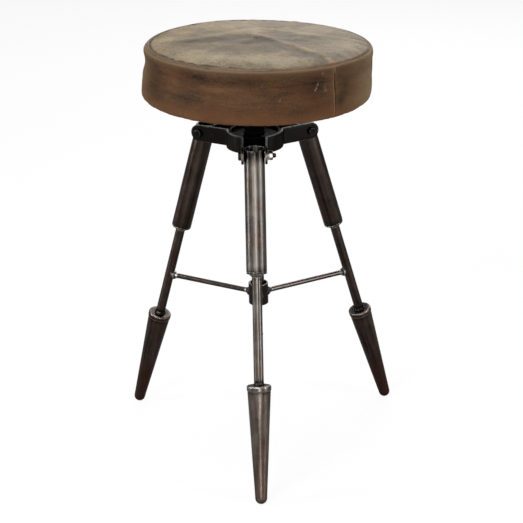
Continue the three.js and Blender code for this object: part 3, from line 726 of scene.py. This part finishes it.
def bracket():
    for name, azimuth in STRAPS.items():
        strap(name, azimuth, len(name))
    outer = RING_R - STRAP_T - GAP
    inner = outer - HOUSING_WALL
    for name, out_r, in_r, low, high, node, round_r in (
        ("nut_housing", outer, inner, RING_BOTTOM + 1, RING_TOP - 1, "housing_drum", 0.9),
        ("housing_plate", inner - GAP, NUT_R + GAP, DECK_TOP - DECK_T, DECK_TOP, "housing_deck", 0.8),
        ("screw_nut", NUT_R, SCREW_BORE_R, NUT_BOTTOM, NUT_TOP, "spindle_nut", 1.2),
    ):
        # The housing, deck and nut take the near-black steel, darkened as painted shade inside the ring
        ring_piece(name, out_r, in_r, low, high, "shaded_black", "base", node, round_r)
    ring_piece("low_hub", HUB_R, HUB_R - TUBE_WALL, HUB_Z - HUB_H / 2, HUB_Z + HUB_H / 2, "hub", "base",
               "hub_tube", 0.9, step=6)


# ---- screw and seat hardware ----


def threaded(low, high):
    """Cuts a right-hand trapezoid thread between two heights."""
    depth, flank = 1.5, 0.22

    def warp(x, y, z, a):
        if not low < z < high:
            return x, y, z
        phase = (z / LEAD - a / (2 * pi)) % 1
        root = min(1, max(0, (0.5 - abs(phase - 0.5)) / flank - 0.35))
        fade = min(1, (z - low) / LEAD, (high - z) / LEAD)
        k = 1 - depth * (1 - root) * fade / SCREW_R
        return x * k, y * k, z
    return warp


def screw_parts():
    corners = [
        (0, SCREW_BOTTOM, 0), (SCREW_R - 0.6, SCREW_BOTTOM, 0.6), (SCREW_R, SCREW_BOTTOM + 1.4, 0.5),
        (SCREW_R, PLATE_TOP, 0.2), (0, PLATE_TOP, 0),
    ]
    turned("threaded_screw", corners, 48, "screw", "seat", ["spindle"], None,
           threaded(COLLAR_TOP + 2, NUT_TOP + 20), step=0.6)
    ring_piece("end_collar", COLLAR_R, SCREW_R + GAP, COLLAR_TOP - COLLAR_T, COLLAR_TOP, "screw", "seat",
               "stop_collar", 0.8, 48)
    pin_end = COLLAR_R + 0.75
    pin = shift(0, 0, COLLAR_TOP - COLLAR_T / 2) @ rotate(-pi / 2, "X")
    turned("cross_pin", [(0, -pin_end, 0), (PIN_R, -pin_end, 0.6), (PIN_R, pin_end, 0.6), (0, pin_end, 0)],
           24, "zinc", "seat", ["stop_pin"], pin, step=3)
    ring_piece("thrust_washer", WASHER_R, SCREW_R + GAP, WASHER_TOP - WASHER_T, WASHER_TOP, "bronze", "lift",
               "stop_washer", 0.5, 48)


def seat_hardware():
    bore, top = SCREW_R + GAP, PLATE_BOTTOM - GAP
    corners = [
        (bore, NUT_TOP + GAP, 0.5), (TUBE_R, NUT_TOP + GAP, 0.9), (TUBE_R, top - WELD_REACH - 2, 3),
        (TUBE_R + 1.4, top - 2.2, 1.5), (TUBE_R + WELD_REACH, top, 0.8), (bore, top, 0.3),
    ]
    # The socket takes the near-black steel, darkened as painted shade under the seat
    turned("socket_pipe", corners, 72, "shaded_black", "seat", ["seat_socket"], None,
           weld_warp((top - 1,), 0.8, 4), step=4)
    ring_piece("mounting_plate", PLATE_R, bore, PLATE_BOTTOM, PLATE_TOP, "bracket", "seat",
               "seat_flange", 1, 96)
    under = PLATE_BOTTOM - GAP
    low = under - PLATE_SCREW_HEAD_T
    recess = 2.1
    for number, azimuth in enumerate(PLATE_SCREWS, 1):
        a = radians(azimuth)
        spot = shift(PLATE_SCREW_CIRCLE * cos(a), PLATE_SCREW_CIRCLE * sin(a), 0)
        corners = [
            (0, low + 1.9, 0), (recess, low + 1.9, 0.1), (recess, low, 0.3), (3.2, low, 1.4),
            (PLATE_SCREW_HEAD_R, under - 1.1, 1), (PLATE_SCREW_HEAD_R, under, 0.3),
            (PLATE_SCREW_R, under, 0.2), (PLATE_SCREW_R, under + 10, 0.3), (0, under + 13, 0),
        ]
        turned(f"plate_screw_{number}", corners, 36, "zinc", "seat", [f"flange_screw_{number}"],
               spot, hexed(3.4, (low - 0.1, low + 1.95)), step=1)
    board_top = BOARD_BOTTOM + BOARD_T
    board = [
        (0, BOARD_BOTTOM, 0), (BOARD_R - 7, BOARD_BOTTOM, 2), (BOARD_R, BOARD_BOTTOM + 5, 2),
        (BOARD_R, board_top, 0.6), (0, board_top, 0),
    ]
    turned("seat_plywood", board, 96, "plywood", "seat", ["seat_board"], step=12)


# ---- cushion ----

GRID = 64  # squares across the top panel; the band has four times as many round it
GRID_TURN = radians(20)
PANEL_R, SEAM_R, SEAM_Z = 172, 179, 691.0
SIM_FRAMES, SWELL_CAP = 20, 3.0  # steps of the simulation, and how far a point may move in mm
BAND_R, EDGE_R, HEM_SAG = 185.6, 7, 2.2  # low on the band: radius, rounded lower edge, how far it hangs
BAND_TAPER, BAND_LOW, BAND_TALL = 1.8, 628, 50  # how much narrower it gets over its even stretch
TUCK, TUCK_Z, TUCK_TALL = 1.9, 668, 13  # how the band is drawn in below the welt, most at the left
PLUMPEST = radians(215)  # where the welt stands up most, round the seat
# Painted shade in the groove beside the welt, darkest where the welt stands up most
GROOVE_SHADE, GROOVE_IN, GROOVE_W = 3.0, 3.4, 1.9  # dark line beside the welt: how dark, how far inside, how wide
PUCKERS = 22  # small radial wrinkles of the top panel
PATTERN_X, PATTERN_Y = 9.8, 21  # how far the folds and stains are shifted, the second less towards the back
# How the seat leans, in metres for each metre: down to the right, and down to the back low on the seat and
# what its top adds to that
LEAN, DIP, TOP_DIP = 0.023, 0.003, 0.0256
SLIP_X, SLIP_Y, TOP_RISE = (4.3, 5.0), (-2.2, 3.3), 8.4  # its shift in mm, low down and what the top adds
PROUD, PROUD_AT, PROUD_SPREAD = 1.8, radians(118), 0.45  # a rise of the top's back left edge
CLOTH = {
    "quality": 6, "mass": 0.4, "tension_stiffness": 20, "compression_stiffness": 20,
    "bending_stiffness": 1.5, "vertex_group_mass": "sewn", "shrink_min": -0.012,
    "use_pressure": True, "uniform_pressure_force": 4,
}
# The pieces under the cushion that lean with it
LEANING = ("socket_pipe", "mounting_plate", "seat_plywood", "dust_cloth_panel", "staples",
           *(f"plate_screw_{number}" for number in range(1, 5)))

# Folds of the top panel: points, height, half width, how far the leather drops beside it, and on which side
FOLDS = (
    (((-8, 52), (14, 34), (36, 10), (60, -23), (92, -63), (122, -105), (140, -130)), 1.5, 9, 1.6, 1),
    (((22, 34), (4, 46), (-21, 51), (-46, 50), (-78, 28), (-110, 16), (-165, 27)), 1.1, 11, 1.6, -1),
    (((-44, 52), (-30, 60), (-5, 76), (18, 81), (40, 78), (66, 64), (100, 46), (128, 38)), 1.2, 9, 1.2, 1),
    (((14, 44), (34, 27), (58, 22), (84, 30)), 0.7, 7, 0.5, 1),
    (((-30, -8), (-2, 26), (8, 40)), 0.5, 9, 0.3, 1),
)
# Stains of the top panel: x, y, radius along x, radius along y, lightness
STAINS = (
    (-12, 4, 34, 24, -0.95), (-68, 14, 38, 15, -0.95), (36, -50, 34, 24, -0.85), (84, -88, 30, 14, -0.6),
    (-52, -50, 36, 24, -0.3), (-22, -46, 26, 22, -0.4), (125, -92, 22, 26, -0.3), (78, -14, 36, 20, -0.3),
    (44, 35, 28, 13, -0.55), (100, 24, 44, 14, -0.35), (-101, -18, 28, 18, -0.35), (32, 93, 12, 9, -0.8),
    (-150, 4, 32, 34, 0.7), (2, 68, 34, 7, 1.0), (0, -112, 76, 24, 0.6), (-82, -84, 40, 26, 0.55),
    (154, -20, 22, 50, 0.4), (-80, 112, 60, 30, 0.65), (76, 110, 80, 30, 0.4), (82, 52, 26, 10, 0.35),
    (0, 142, 60, 18, 0.35), (-84, 38, 26, 8, 0.5), (-120, 60, 30, 16, 0.25), (108, 78, 34, 18, 0.25),
)
# Stains of the band: degrees round it, height, half width in mm, half height, lightness
BAND_STAINS = (
    (-41, 660, 10, 12, -0.5), (-45, 638, 9, 9, -0.5), (-62, 665, 22, 15, -0.45), (-90, 676, 60, 8, -0.3),
    (-118, 676, 36, 8, -0.3), (-108, 646, 40, 7, 0.35), (-70, 634, 34, 9, -0.3), (-136, 662, 14, 16, 0.35),
    (-150, 650, 22, 34, -0.2), (-112, 664, 34, 5, 0.45), (-96, 655, 40, 6, 0.3), (-84, 646, 50, 7, 0.2),
    (-28, 650, 18, 24, 0.4), (-124, 648, 20, 10, -0.25), (-78, 660, 20, 9, -0.25),
    (20, 660, 50, 12, -0.4), (48, 642, 60, 9, 0.3), (75, 668, 40, 12, -0.3), (100, 650, 70, 8, 0.35),
    (128, 662, 34, 14, -0.45), (150, 640, 50, 9, 0.25), (176, 664, 30, 16, -0.3),
)
# Pale scratches of the band: start and end as degrees round it and height
SCRATCHES = (
    ((-61.2, 661), (-60.4, 664)), ((-60.0, 667), (-59.5, 670)), ((-55.8, 664), (-55.4, 662)),
    ((-55.2, 660), (-54.8, 658)), ((-57.5, 683), (-57.3, 682.5)), ((-79, 652), (-78.8, 651.4)),
)


def stroke(points, xy):
    """For each point of xy: signed distance from a line, and how far along it the nearest place is."""
    best = np.full(len(xy), 1e9)
    side, along = np.zeros(len(xy)), np.zeros(len(xy))
    ends = np.array(points, float)
    lengths = np.hypot(*np.diff(ends, axis=0).T)
    done = np.concatenate([[0], np.cumsum(lengths)])
    for a, b, length, start in zip(ends, ends[1:], lengths, done):
        way = (b - a) / length
        t = np.clip((xy - a) @ way, 0, length)
        off = xy - a - t[:, None] * way
        d = np.hypot(*off.T)
        near = d < best
        best[near] = d[near]
        side[near] = np.sign(way[0] * off[near, 1] - way[1] * off[near, 0])
        along[near] = (start + t[near]) / done[-1]
    return best * side, along


def smooth_line(points):
    """A rounder line through a few points (Catmull-Rom)."""
    count = 8
    p = [Vector(q) for q in (points[0], *points, points[-1])]
    out = []
    for a, b, c, d in zip(p, p[1:], p[2:], p[3:]):
        for k in range(count):
            t = k / count
            out.append(0.5 * ((2 * b) + (c - a) * t + (2 * a - 5 * b + 4 * c - d) * t * t
                              + (3 * b - a - 3 * c + d) * t ** 3))
    return [tuple(q) for q in out] + [tuple(p[-1])]


def disc_grid(radius, height):
    """A round grid of squares, and its border's places in order. height gives z from the radius."""
    verts, row = [], GRID + 1
    for j in range(row):
        for i in range(row):
            u, v = 2 * i / GRID - 1, 2 * j / GRID - 1
            x, y = u * math.sqrt(1 - v * v / 2), v * math.sqrt(1 - u * u / 2)
            a = math.atan2(y, x) + GRID_TURN
            r = hypot(x, y)
            verts.append((radius * r * cos(a), radius * r * sin(a), height(radius * r)))
    faces = [(j * row + i, j * row + i + 1, (j + 1) * row + i + 1, (j + 1) * row + i)
             for j in range(GRID) for i in range(GRID)]
    border = [*range(GRID)] + [j * row + GRID for j in range(GRID)]
    border += [GRID * row + i for i in range(GRID, 0, -1)] + [j * row for j in range(GRID, 0, -1)]
    return verts, faces, border


def crown(r):
    """Height of the top panel before it is blown up."""
    return SEAM_Z + 1.0 + 4.0 * (1 - (r / SEAM_R) ** 3)


def cushion_blank():
    """The cover before it is blown up: top panel, band and underside as one even grid."""
    verts, faces, border = disc_grid(PANEL_R, crown)
    angles = [math.atan2(verts[k][1], verts[k][0]) for k in border]
    low = SEAT_BOTTOM + 0.4
    side = [(BAND_R - BAND_TAPER * t, BAND_LOW + BAND_TALL * t) for t in np.linspace(1, 0, 13)]
    corner = arc(BAND_R + 0.4 - EDGE_R, low - HEM_SAG + EDGE_R, EDGE_R, 0, -pi / 2, 6)
    roll = [(175, SEAM_Z + 1.1), (177.5, SEAM_Z + 0.7), (SEAM_R, SEAM_Z - 0.5), (180.6, SEAM_Z + 0.1)]
    roll += [(182.6, SEAM_Z - 0.8), (184.2, SEAM_Z - 2.8), (184.8, SEAM_Z - 5.6), (184.6, SEAM_Z - 9)]
    under = [(r, low - HEM_SAG * max(0, (r - 160) / 14) ** 2) for r in (172, 166, 160, 155, HEM_R)]
    rows = roll + side + corner + under
    before, panel_faces = border, len(faces)
    for number, (r, z) in enumerate(rows):
        ring = list(range(len(verts), len(verts) + len(angles)))
        verts += [(r * cos(a), r * sin(a), z) for a in angles]
        faces += [(before[k], before[k - 1], ring[k - 1], ring[k]) for k in range(len(ring))]
        before = ring
        if number == 2:
            panel_faces, seam_ring = len(faces), ring
    under_board = {k for k, (x, y, z) in enumerate(verts) if z < low + 0.6 and hypot(x, y) < 180}
    pinned = set(seam_ring) | under_board
    cap_verts, cap_faces, cap_border = disc_grid(HEM_R, lambda r: low)
    place = dict(zip(cap_border, before))
    for k, v in enumerate(cap_verts):
        if k not in place:
            place[k] = len(verts)
            pinned.add(len(verts))
            verts.append(v)
    cap_start = len(faces)
    faces += [tuple(place[k] for k in f)[::-1] for f in cap_faces]
    return verts, faces, pinned, panel_faces, cap_start


def evaluated(obj):
    return obj.evaluated_get(bpy.context.evaluated_depsgraph_get())


def blow_up(obj, pinned):
    """Cloth simulation of the stuffed cover, held at its seam and under the board."""
    group = obj.vertex_groups.new(name="sewn")
    group.add(sorted(pinned), 1.0, "REPLACE")
    cloth = obj.modifiers.new("cloth", "CLOTH")
    for key, value in CLOTH.items():
        setattr(cloth.settings, key, value)
    cloth.settings.effector_weights.gravity = 0
    cloth.collision_settings.use_collision = False
    cloth.point_cache.frame_start, cloth.point_cache.frame_end = 1, SIM_FRAMES
    scene = bpy.context.scene
    for number in range(1, SIM_FRAMES + 1):
        scene.frame_set(number)
    start = points_of(obj.data)
    moved = points_of(evaluated(obj).data) - start
    length = np.linalg.norm(moved, axis=1, keepdims=True)
    moved *= np.minimum(1, SWELL_CAP * MM / np.maximum(length, 1e-9))
    obj.modifiers.clear()
    scene.frame_set(1)
    put_points(obj.data, start + moved)


def settle(obj):
    """Applies the object's modifiers to its mesh."""
    made = bpy.data.meshes.new_from_object(evaluated(obj))
    obj.modifiers.clear()
    obj.data = made


def waves(points, *layers):
    """Smooth noise at points (x, y), the sum of layers of (size, scale of x, scale of y, seed)."""
    return np.array([
        sum(size * noise.noise(Vector((x * sx, y * sy, seed))) for size, sx, sy, seed in layers)
        for x, y in points
    ])


def stains(points, table):
    """The lightness that soft oval stains (x, y, radius along x, along y, lightness) give each point."""
    across, along = points.T
    return sum(light * bell(across - x, rx) * bell(along - y, ry) for x, y, rx, ry, light in table)


def fold_top(co):
    """Raises the folds and puckers of the top panel. Gives the shift in z and each point's lightness: stains,
    with painted highlight and shade along the folds and puckers and painted shade beside the welt.
    """
    xy = co[:, :2] / MM
    r, angle = np.hypot(*xy.T), np.arctan2(xy[:, 1], xy[:, 0])
    back = PATTERN_Y * np.clip(1 - xy[:, 1] / 180, 0, 1)
    xy = xy + np.stack([np.full(len(xy), PATTERN_X), back], 1)
    rise, tone = np.zeros(len(xy)), np.zeros(len(xy))
    for points, height, width, drop, side in FOLDS:
        d, t = stroke(smooth_line(points), xy)
        fade = np.clip(t / 0.12, 0, 1) * np.clip((1 - t) / 0.14, 0, 1)
        low = (d * side < 0) * np.clip(-d * side / width, 0, 1) * np.exp(-np.abs(d) / 24)
        rise += fade * (height * bell(d, width) - drop * low)
        # Painted highlight along the fold's ridge and painted shade on its low side
        tone += fade * 0.5 * (bell(d, width * 0.7) - (low > 0) * bell(np.abs(d) - 15, 11))
    rng = np.random.default_rng(11)
    for k in range(PUCKERS):
        a = 2 * pi * (k + rng.uniform(-0.35, 0.35)) / PUCKERS
        near, far = rng.uniform(18, 60), rng.uniform(95, 168)
        bend = a + rng.uniform(-0.22, 0.22)
        ways = ((near, a), ((near + far) / 2, (a + bend) / 2), (far, bend))
        line = [(reach * cos(way), reach * sin(way)) for reach, way in ways]
        d, t = stroke(smooth_line(line), xy)
        fade = np.sin(np.pi * np.clip(t, 0, 1)) ** 0.7
        size = rng.uniform(0.25, 0.8)
        width = rng.uniform(5, 10)
        rise += size * fade * bell(d, width)
        # Painted highlight along the pucker and painted shade beside it
        tone += 0.32 * size * fade * (bell(d, width) - 0.7 * bell(d - 1.7 * width, width))
    tone += stains(xy, STAINS)
    rise += waves(xy, (1.3, 0.022, 0.022, 3), (0.4, 0.07, 0.07, 9))
    plump = 0.5 + 0.5 * np.cos(angle - PLUMPEST)
    # Painted shade in the groove beside the welt
    tone -= GROOVE_SHADE * plump ** 3 * bell(r - SEAM_R + GROOVE_IN, GROOVE_W)
    keep = np.clip((SEAM_R - 3 - r) / 22, 0, 1) ** 0.8
    return rise * keep * MM, tone


def seam_angle(z):
    """Where the butt seam is, round the band, at a height."""
    return BUTT_SEAM + SEAM_SLANT * (z - SEAT_BOTTOM) / (SEAM_Z - SEAT_BOTTOM)


def ripple_band(co):
    """Waves, the butt seam's pinch and the stains of the band, with a painted highlight over the seam and a
    painted shade line along it. Gives a radial shift and three marks.
    """
    angle = np.arctan2(co[:, 1], co[:, 0])
    z = co[:, 2] / MM
    unrolled = np.stack([angle * SEAT_R, z], 1)
    push = waves(unrolled, (1.0, 0.016, 0.05, 1), (0.45, 0.05, 0.11, 5))
    from_seam = (angle - seam_angle(z)) * SEAT_R
    push += 0.9 * bell(from_seam, 9) - bell(from_seam - 22, 12) - 0.8 * bell(from_seam + 20, 10)
    push -= TUCK * (1 - np.cos(angle)) * bell(z - TUCK_Z, TUCK_TALL)
    held = np.clip((z - SEAT_BOTTOM - 6) / 18, 0, 1) * np.clip((SEAM_Z + 1 - z) / 12, 0, 1)
    tone = stains(unrolled, [(radians(a) * SEAT_R, *rest) for a, *rest in BAND_STAINS])
    # Painted highlight over the butt seam's pinch and a painted shade line in its narrow groove
    tone += 0.3 * bell(from_seam, 8) - 2.2 * bell(from_seam, 1)
    # Painted sheen: olive grey at the band's left and right ends as seen from the front, and a little at its
    # back
    turn = (np.degrees(angle) + 270) % 360 - 180
    olive_sheen = 0.95 * bell(turn - 80, 22) + 0.85 * bell(turn + 92, 18) + 0.25 * bell(np.abs(turn) - 180, 40)
    scratch = np.zeros(len(z))
    for ends in SCRATCHES:
        d, _ = stroke([(radians(a) * SEAT_R, height) for a, height in ends], unrolled)
        scratch = np.maximum(scratch, 0.3 * bell(d, 0.8))
    return push * held * MM, tone, olive_sheen, scratch


def lopsided(co):
    """The seat's lean: it dips to the right, its front is a little thicker, and its top has slipped right."""
    out = co.copy()
    up = np.clip((co[:, 2] / MM - SEAT_BOTTOM) / (SEAM_Z - SEAT_BOTTOM), 0, 1.1)
    angle = np.arctan2(co[:, 1], co[:, 0])
    proud = PROUD * bell(angle - PROUD_AT, PROUD_SPREAD)
    out[:, 0] += (SLIP_X[0] + SLIP_X[1] * up) * MM
    out[:, 1] += (SLIP_Y[0] + SLIP_Y[1] * up) * MM
    out[:, 2] += (TOP_RISE + proud) * up * MM - LEAN * co[:, 0] - (DIP + TOP_DIP * up) * co[:, 1]
    return out


def leaned(point):
    """One point in millimetres, moved with the leaning seat."""
    return Vector(lopsided(np.array([point]) * MM)[0]) / MM


def lean(*pieces):
    """Tips the boards and plates under the cushion the way that it leans."""
    for one in pieces:
        co = points_of(one.data)
        share = np.clip((co[:, 2] / MM - (PLATE_BOTTOM - 15)) / 14, 0, 1)
        co[:, 2] -= share * (LEAN * co[:, 0] + DIP * co[:, 1])
        put_points(one.data, co)


def leather_cover():
    """The sewn leather cover, from its top panel round to the hem turned in under the board."""
    verts, faces, pinned, panel_faces, cap_start = cushion_blank()
    cover = piece("leather_cover", verts, faces, "top", "seat", ["cover_top", "cover_band"])
    cover.data.materials.append(MATERIAL["band"])
    cover.data.materials.append(MATERIAL["edge"])
    which = [(k >= panel_faces) + (k >= cap_start) for k in range(len(faces))]
    cover.data.polygons.foreach_set("material_index", which)
    blow_up(cover, pinned)
    drop_faces(cover.data, 2)  # the disc that closed the cover for the simulation
    cover.modifiers.new("finer", "SUBSURF").levels = 1
    settle(cover)
    mesh = cover.data
    co = points_of(mesh)
    z = co[:, 2] / MM
    r = np.hypot(co[:, 0], co[:, 1])
    on_top = (r < (SEAM_R + 0.3) * MM) & (z > SEAM_Z - 2)
    rise, top_stains_and_shading = fold_top(co)
    push, band_stains_and_shading, olive_sheen, scratch = ripple_band(co)
    co[:, 2] += np.where(on_top, rise, 0)
    out = co[:, :2] / np.maximum(r, 1e-6)[:, None]
    co[:, :2] += out * np.where(on_top, 0, push)[:, None]
    tone = np.where(on_top, top_stains_and_shading, band_stains_and_shading)
    for name, values in (("tone", tone), ("olive_sheen", olive_sheen), ("scratch", scratch)):
        set_mark(mesh, name, values)
    put_points(mesh, lopsided(co))
    thick = cover.modifiers.new("thickness", "SOLIDIFY")
    thick.thickness, thick.offset = (LEATHER_T - 0.2) * MM, -1
    settle(cover)


def drop_faces(mesh, slot):
    """Removes the faces of one material slot and the points that only they used."""
    made = bmesh.new()
    made.from_mesh(mesh)
    bmesh.ops.delete(made, geom=[f for f in made.faces if f.material_index == slot], context="FACES")
    made.to_mesh(mesh)
    made.free()


LIP = arc(0, 0, 1, 0, 2 * pi, 11)[:-1]  # the round section of every sewn lip
WELTS = (("welt_upper", 177.9, 690.9, ["cover_welt"]), ("welt_lower", 180.4, 690.2, []))
WELT_STEPS = 288


def welt():
    """Two lips of leather along the top seam, plump at the left and pressed flat at the right."""
    for name, radius, z, nodes in WELTS:
        verts, tan = [], []
        for k in range(WELT_STEPS):
            a = 2 * pi * k / WELT_STEPS
            plump = 0.5 + 0.5 * cos(a - PLUMPEST)
            wave = noise.noise(Vector((cos(a) * 3, sin(a) * 3, radius)))
            size = 0.95 + 0.55 * plump + 0.2 * wave
            out = outward(a)
            spot = leaned(out * (radius + 0.3 * wave) + Vector((0, 0, z + 0.35 * wave)))
            verts += [tuple(spot + out * (u * size) + Vector((0, 0, v * size))) for u, v in LIP]
            near = abs((a - seam_angle(SEAM_Z) + pi) % (2 * pi) - pi) * SEAT_R
            tan += [0.1 + 0.6 * bell(near, 12)] * len(LIP)
        faces = bridge(WELT_STEPS, len(LIP), True)
        made = piece(name, verts, faces, "edge", "seat", nodes, marks={"tan": tan})
        made.data.flip_normals()


def butt_seam():
    """The band's two ends, turned in and sewn edge to edge: two soft lips, the left one in the lighter edge
    leather as a painted highlight, with a painted shade line between.
    """
    cover = bpy.data.objects["leather_cover"]
    # The left lip takes the lighter edge leather as a painted highlight; the right keeps the band's colour
    for number, (side, look) in enumerate(((-1, "edge"), (1, "band")), 1):
        verts = []
        for z in np.linspace(SEAM_Z - 1, SEAT_BOTTOM + 1, 44):
            a = seam_angle(z) + side * SEAM_LIP / SEAT_R
            out = outward(a)
            along = Vector((-out.y, out.x, 0))
            beside = leaned((out.x * SEAT_R, out.y * SEAT_R, z)) + out * 30
            found, place, *_ = cover.ray_cast(beside * MM, -out)
            if not found:
                continue
            wave = noise.noise(Vector((z * 0.12, side * 4, 2)))
            spot = Vector(place) / MM - out * 0.3
            tall, wide = 0.8 + 0.2 * wave, 0.95 + 0.2 * wave
            verts += [tuple(spot + out * (v * tall) + along * (u * wide)) for u, v in LIP]
        faces = bar_faces(len(verts) // len(LIP), len(LIP))
        piece(f"band_seam_{number}", verts, faces, look, "seat", marks={"tan": [0.85] * len(verts)})


def padding():
    """Foam block between the board and the cover."""
    r, bottom = BOARD_R + 1, BOARD_BOTTOM + BOARD_T + GAP
    top = [(r * t, crown(r * t) - LEATHER_T - 4.5, 0) for t in (0, 0.3, 0.5, 0.7, 0.85, 0.95)]
    corners = [(0, bottom, 0), (r, bottom, 3), (r, top[-1][1] - 2, 8)] + top[::-1]
    made = turned("foam_block", corners, 96, "foam", "seat", ["seat_foam"], step=8,
                  warp=lambda x, y, z, a: tuple(leaned((x, y, z))))


PLEAT_R, STAPLES, STAPLE_R = 120, 28, 151  # where the pleats start, and the ring of staples


def underside():
    """Dust cloth stapled over the hem, drawn into small pleats round its edge."""
    hole, top = PLATE_R + GAP, SEAT_BOTTOM - GAP - 0.05

    def pleats(x, y, z, a):
        r = hypot(x, y)
        edge = max(0, (r - PLEAT_R) / (DUST_R - PLEAT_R))
        sag = 0.4 * sin(pi * min(1, max(0, (r - hole) / (DUST_R - hole))))
        wave = 0.25 * edge * sin(a * 31 + 1.5 * sin(a * 5)) + waver(x, y, z, 0.3, 0.03, 3)
        reach = 1 + 0.006 * edge * sin(a * 23)
        return x * reach, y * reach, z - max(0, sag + wave * 0.6)
    low, outer = top - DUST_T, DUST_R - 1
    corners = [(hole, low, 0.2), (outer, low, 0.4), (outer, top, 0.4), (hole, top, 0.2)]
    turned("dust_cloth_panel", corners, 192, "dust", "seat", ["dust_cover"], None, pleats, step=5)
    low -= 0.9
    verts, faces = [], []
    for k in range(STAPLES):
        a = 2 * pi * (k + 0.3 * noise.noise(Vector((k * 1.7, 0, 0)))) / STAPLES
        out, along = outward(a), outward(a + pi / 2)
        base = len(verts)
        for s in (-5.5, -5.0, 5.0, 5.5):
            up = 0.9 if abs(s) > 5.2 else 0
            for u, v in ((-0.45, 0), (0.45, 0), (0.45, 0.6), (-0.45, 0.6)):
                verts.append(tuple(out * (STAPLE_R + u) + along * s + Vector((0, 0, low + v + up))))
        faces += [tuple(base + i for i in face)[::-1] for face in bar_faces(4, 4)]
    piece("staples", verts, faces, "zinc", "seat", wear=[0.5] * len(verts))


# ---- stage, light and camera ----

FLOOR_REACH, FLOOR_GLOW = 9, 0.9
# Softboxes: name, place, what it faces, size, power
SOFTBOXES = (
    ("key", (-1.5, -2.4, 2.3), (0, 0, 0.5), (1.2, 1.6), 62),
    ("front", (0.25, -3.2, 1.0), (0, 0, 0.4), (0.45, 2.0), 26),
    ("right", (2.2, -1.1, 1.0), (0, 0, 0.4), (0.35, 2.0), 22),
    ("left", (-2.2, -0.3, 1.0), (0, 0, 0.4), (0.35, 2.0), 20),
    ("top", (0, 0.4, 3.0), (0, 0, 0.6), (2.2, 2.2), 46),
    ("back", (0.6, 2.8, 1.6), (0, 0, 0.5), (1.6, 1.6), 30),
)
CAMERA_PLACE, CAMERA_LENS = (0, -2.7233, 1.4029), 118.58
PITCH, YAW, ROLL, ORBIT = 0.37834, 0.00236, -0.02332, 0.01386  # the first three turn the camera itself


def stage():
    """A pale floor that the camera sees as nearly plain white."""
    floor = bpy.data.meshes.new("floor")
    corners = [(x * FLOOR_REACH, y * FLOOR_REACH, 0) for x, y in ((-1, -1), (1, -1), (1, 1), (-1, 1))]
    floor.from_pydata(corners, [], [(0, 1, 2, 3)])
    g = Graph("floor_white", Specular_IOR_Level=0.1)
    g.place = g.node("ShaderNodeTexCoord").outputs["Object"]
    g.finish(g.mix(g.noise(3, 2), (244, 244, 243), (248, 248, 247)), 0.9, 0.0001, g.noise(200))
    glow = g.node("ShaderNodeEmission", {0: (1, 1, 1, 1), 1: 1.0})
    path = g.node("ShaderNodeLightPath")
    dim = g.node("ShaderNodeBsdfDiffuse", {"Color": (0.2, 0.2, 0.2, 1)})
    blend = g.shader
    seen = g.times(path.outputs["Is Camera Ray"], FLOOR_GLOW)
    for share, other in ((path.outputs["Is Glossy Ray"], dim), (seen, glow)):
        blend = g.node("ShaderNodeMixShader", {0: share, 1: blend.outputs[0], 2: other.outputs[0]})
    g.tree.links.new(blend.outputs[0], g.tree.nodes["Material Output"].inputs[0])
    floor.materials.append(g.material)
    add("floor", floor)


def softbox(name, place, target, size, power):
    lamp = bpy.data.lights.new(name, "AREA")
    lamp.shape = "RECTANGLE"
    lamp.size, lamp.size_y = size
    lamp.energy = power
    obj = add(name, lamp)
    obj.location = place
    obj.rotation_euler = (Vector(target) - Vector(place)).to_track_quat("-Z", "Y").to_euler()


def lights():
    world = bpy.data.worlds.new("studio")
    bpy.context.scene.world = world
    world.use_nodes = True
    nodes, links = world.node_tree.nodes, world.node_tree.links
    path = nodes.new("ShaderNodeLightPath")
    mix = nodes.new("ShaderNodeMix")
    mix.data_type = "RGBA"
    mix.inputs[6].default_value = (0.15, 0.15, 0.152, 1)
    mix.inputs[7].default_value = (1, 1, 1, 1)
    links.new(path.outputs["Is Camera Ray"], mix.inputs[0])
    links.new(mix.outputs[2], nodes["Background"].inputs[0])
    for box in SOFTBOXES:
        softbox(*box)


def camera():
    """Looks down 21.7 degrees on the stool, from 2.7 m in front of it."""
    data = bpy.data.cameras.new("camera")
    data.sensor_width, data.lens = 36, CAMERA_LENS
    obj = bpy.context.scene.camera = add("camera", data)
    obj.matrix_world = (
        rotate(ORBIT, "Z") @ Matrix.Translation(CAMERA_PLACE) @ rotate(-YAW, "Z")
        @ rotate(pi / 2 - PITCH, "X") @ rotate(ROLL, "Z")
    )


# ---- assembly ----

camera()
stage()
lights()
bpy.context.scene.view_settings.view_transform = "Standard"
for number, (place, (azimuth, side)) in enumerate(LEGS.items(), 1):
    matrix = leg_matrix(azimuth)
    # The front leg takes the lit copies of its steels, the side legs the shaded copies
    kind = "front" if place == "front" else "side"
    leg_tube(place, matrix, f"leg_{kind}", number)
    end_plate(place, matrix, f"leg_{kind}", number)
    leg_rod(place, matrix, f"leg_{kind}", number)
    foot(place, matrix, f"foot_{kind}", number)
    bolts(place, matrix, side)
    tie_rod(place, azimuth, "tie", number)
bracket()
screw_parts()
seat_hardware()
leather_cover()
welt()
butt_seam()
padding()
underside()
lean(*(bpy.data.objects[name] for name in LEANING))
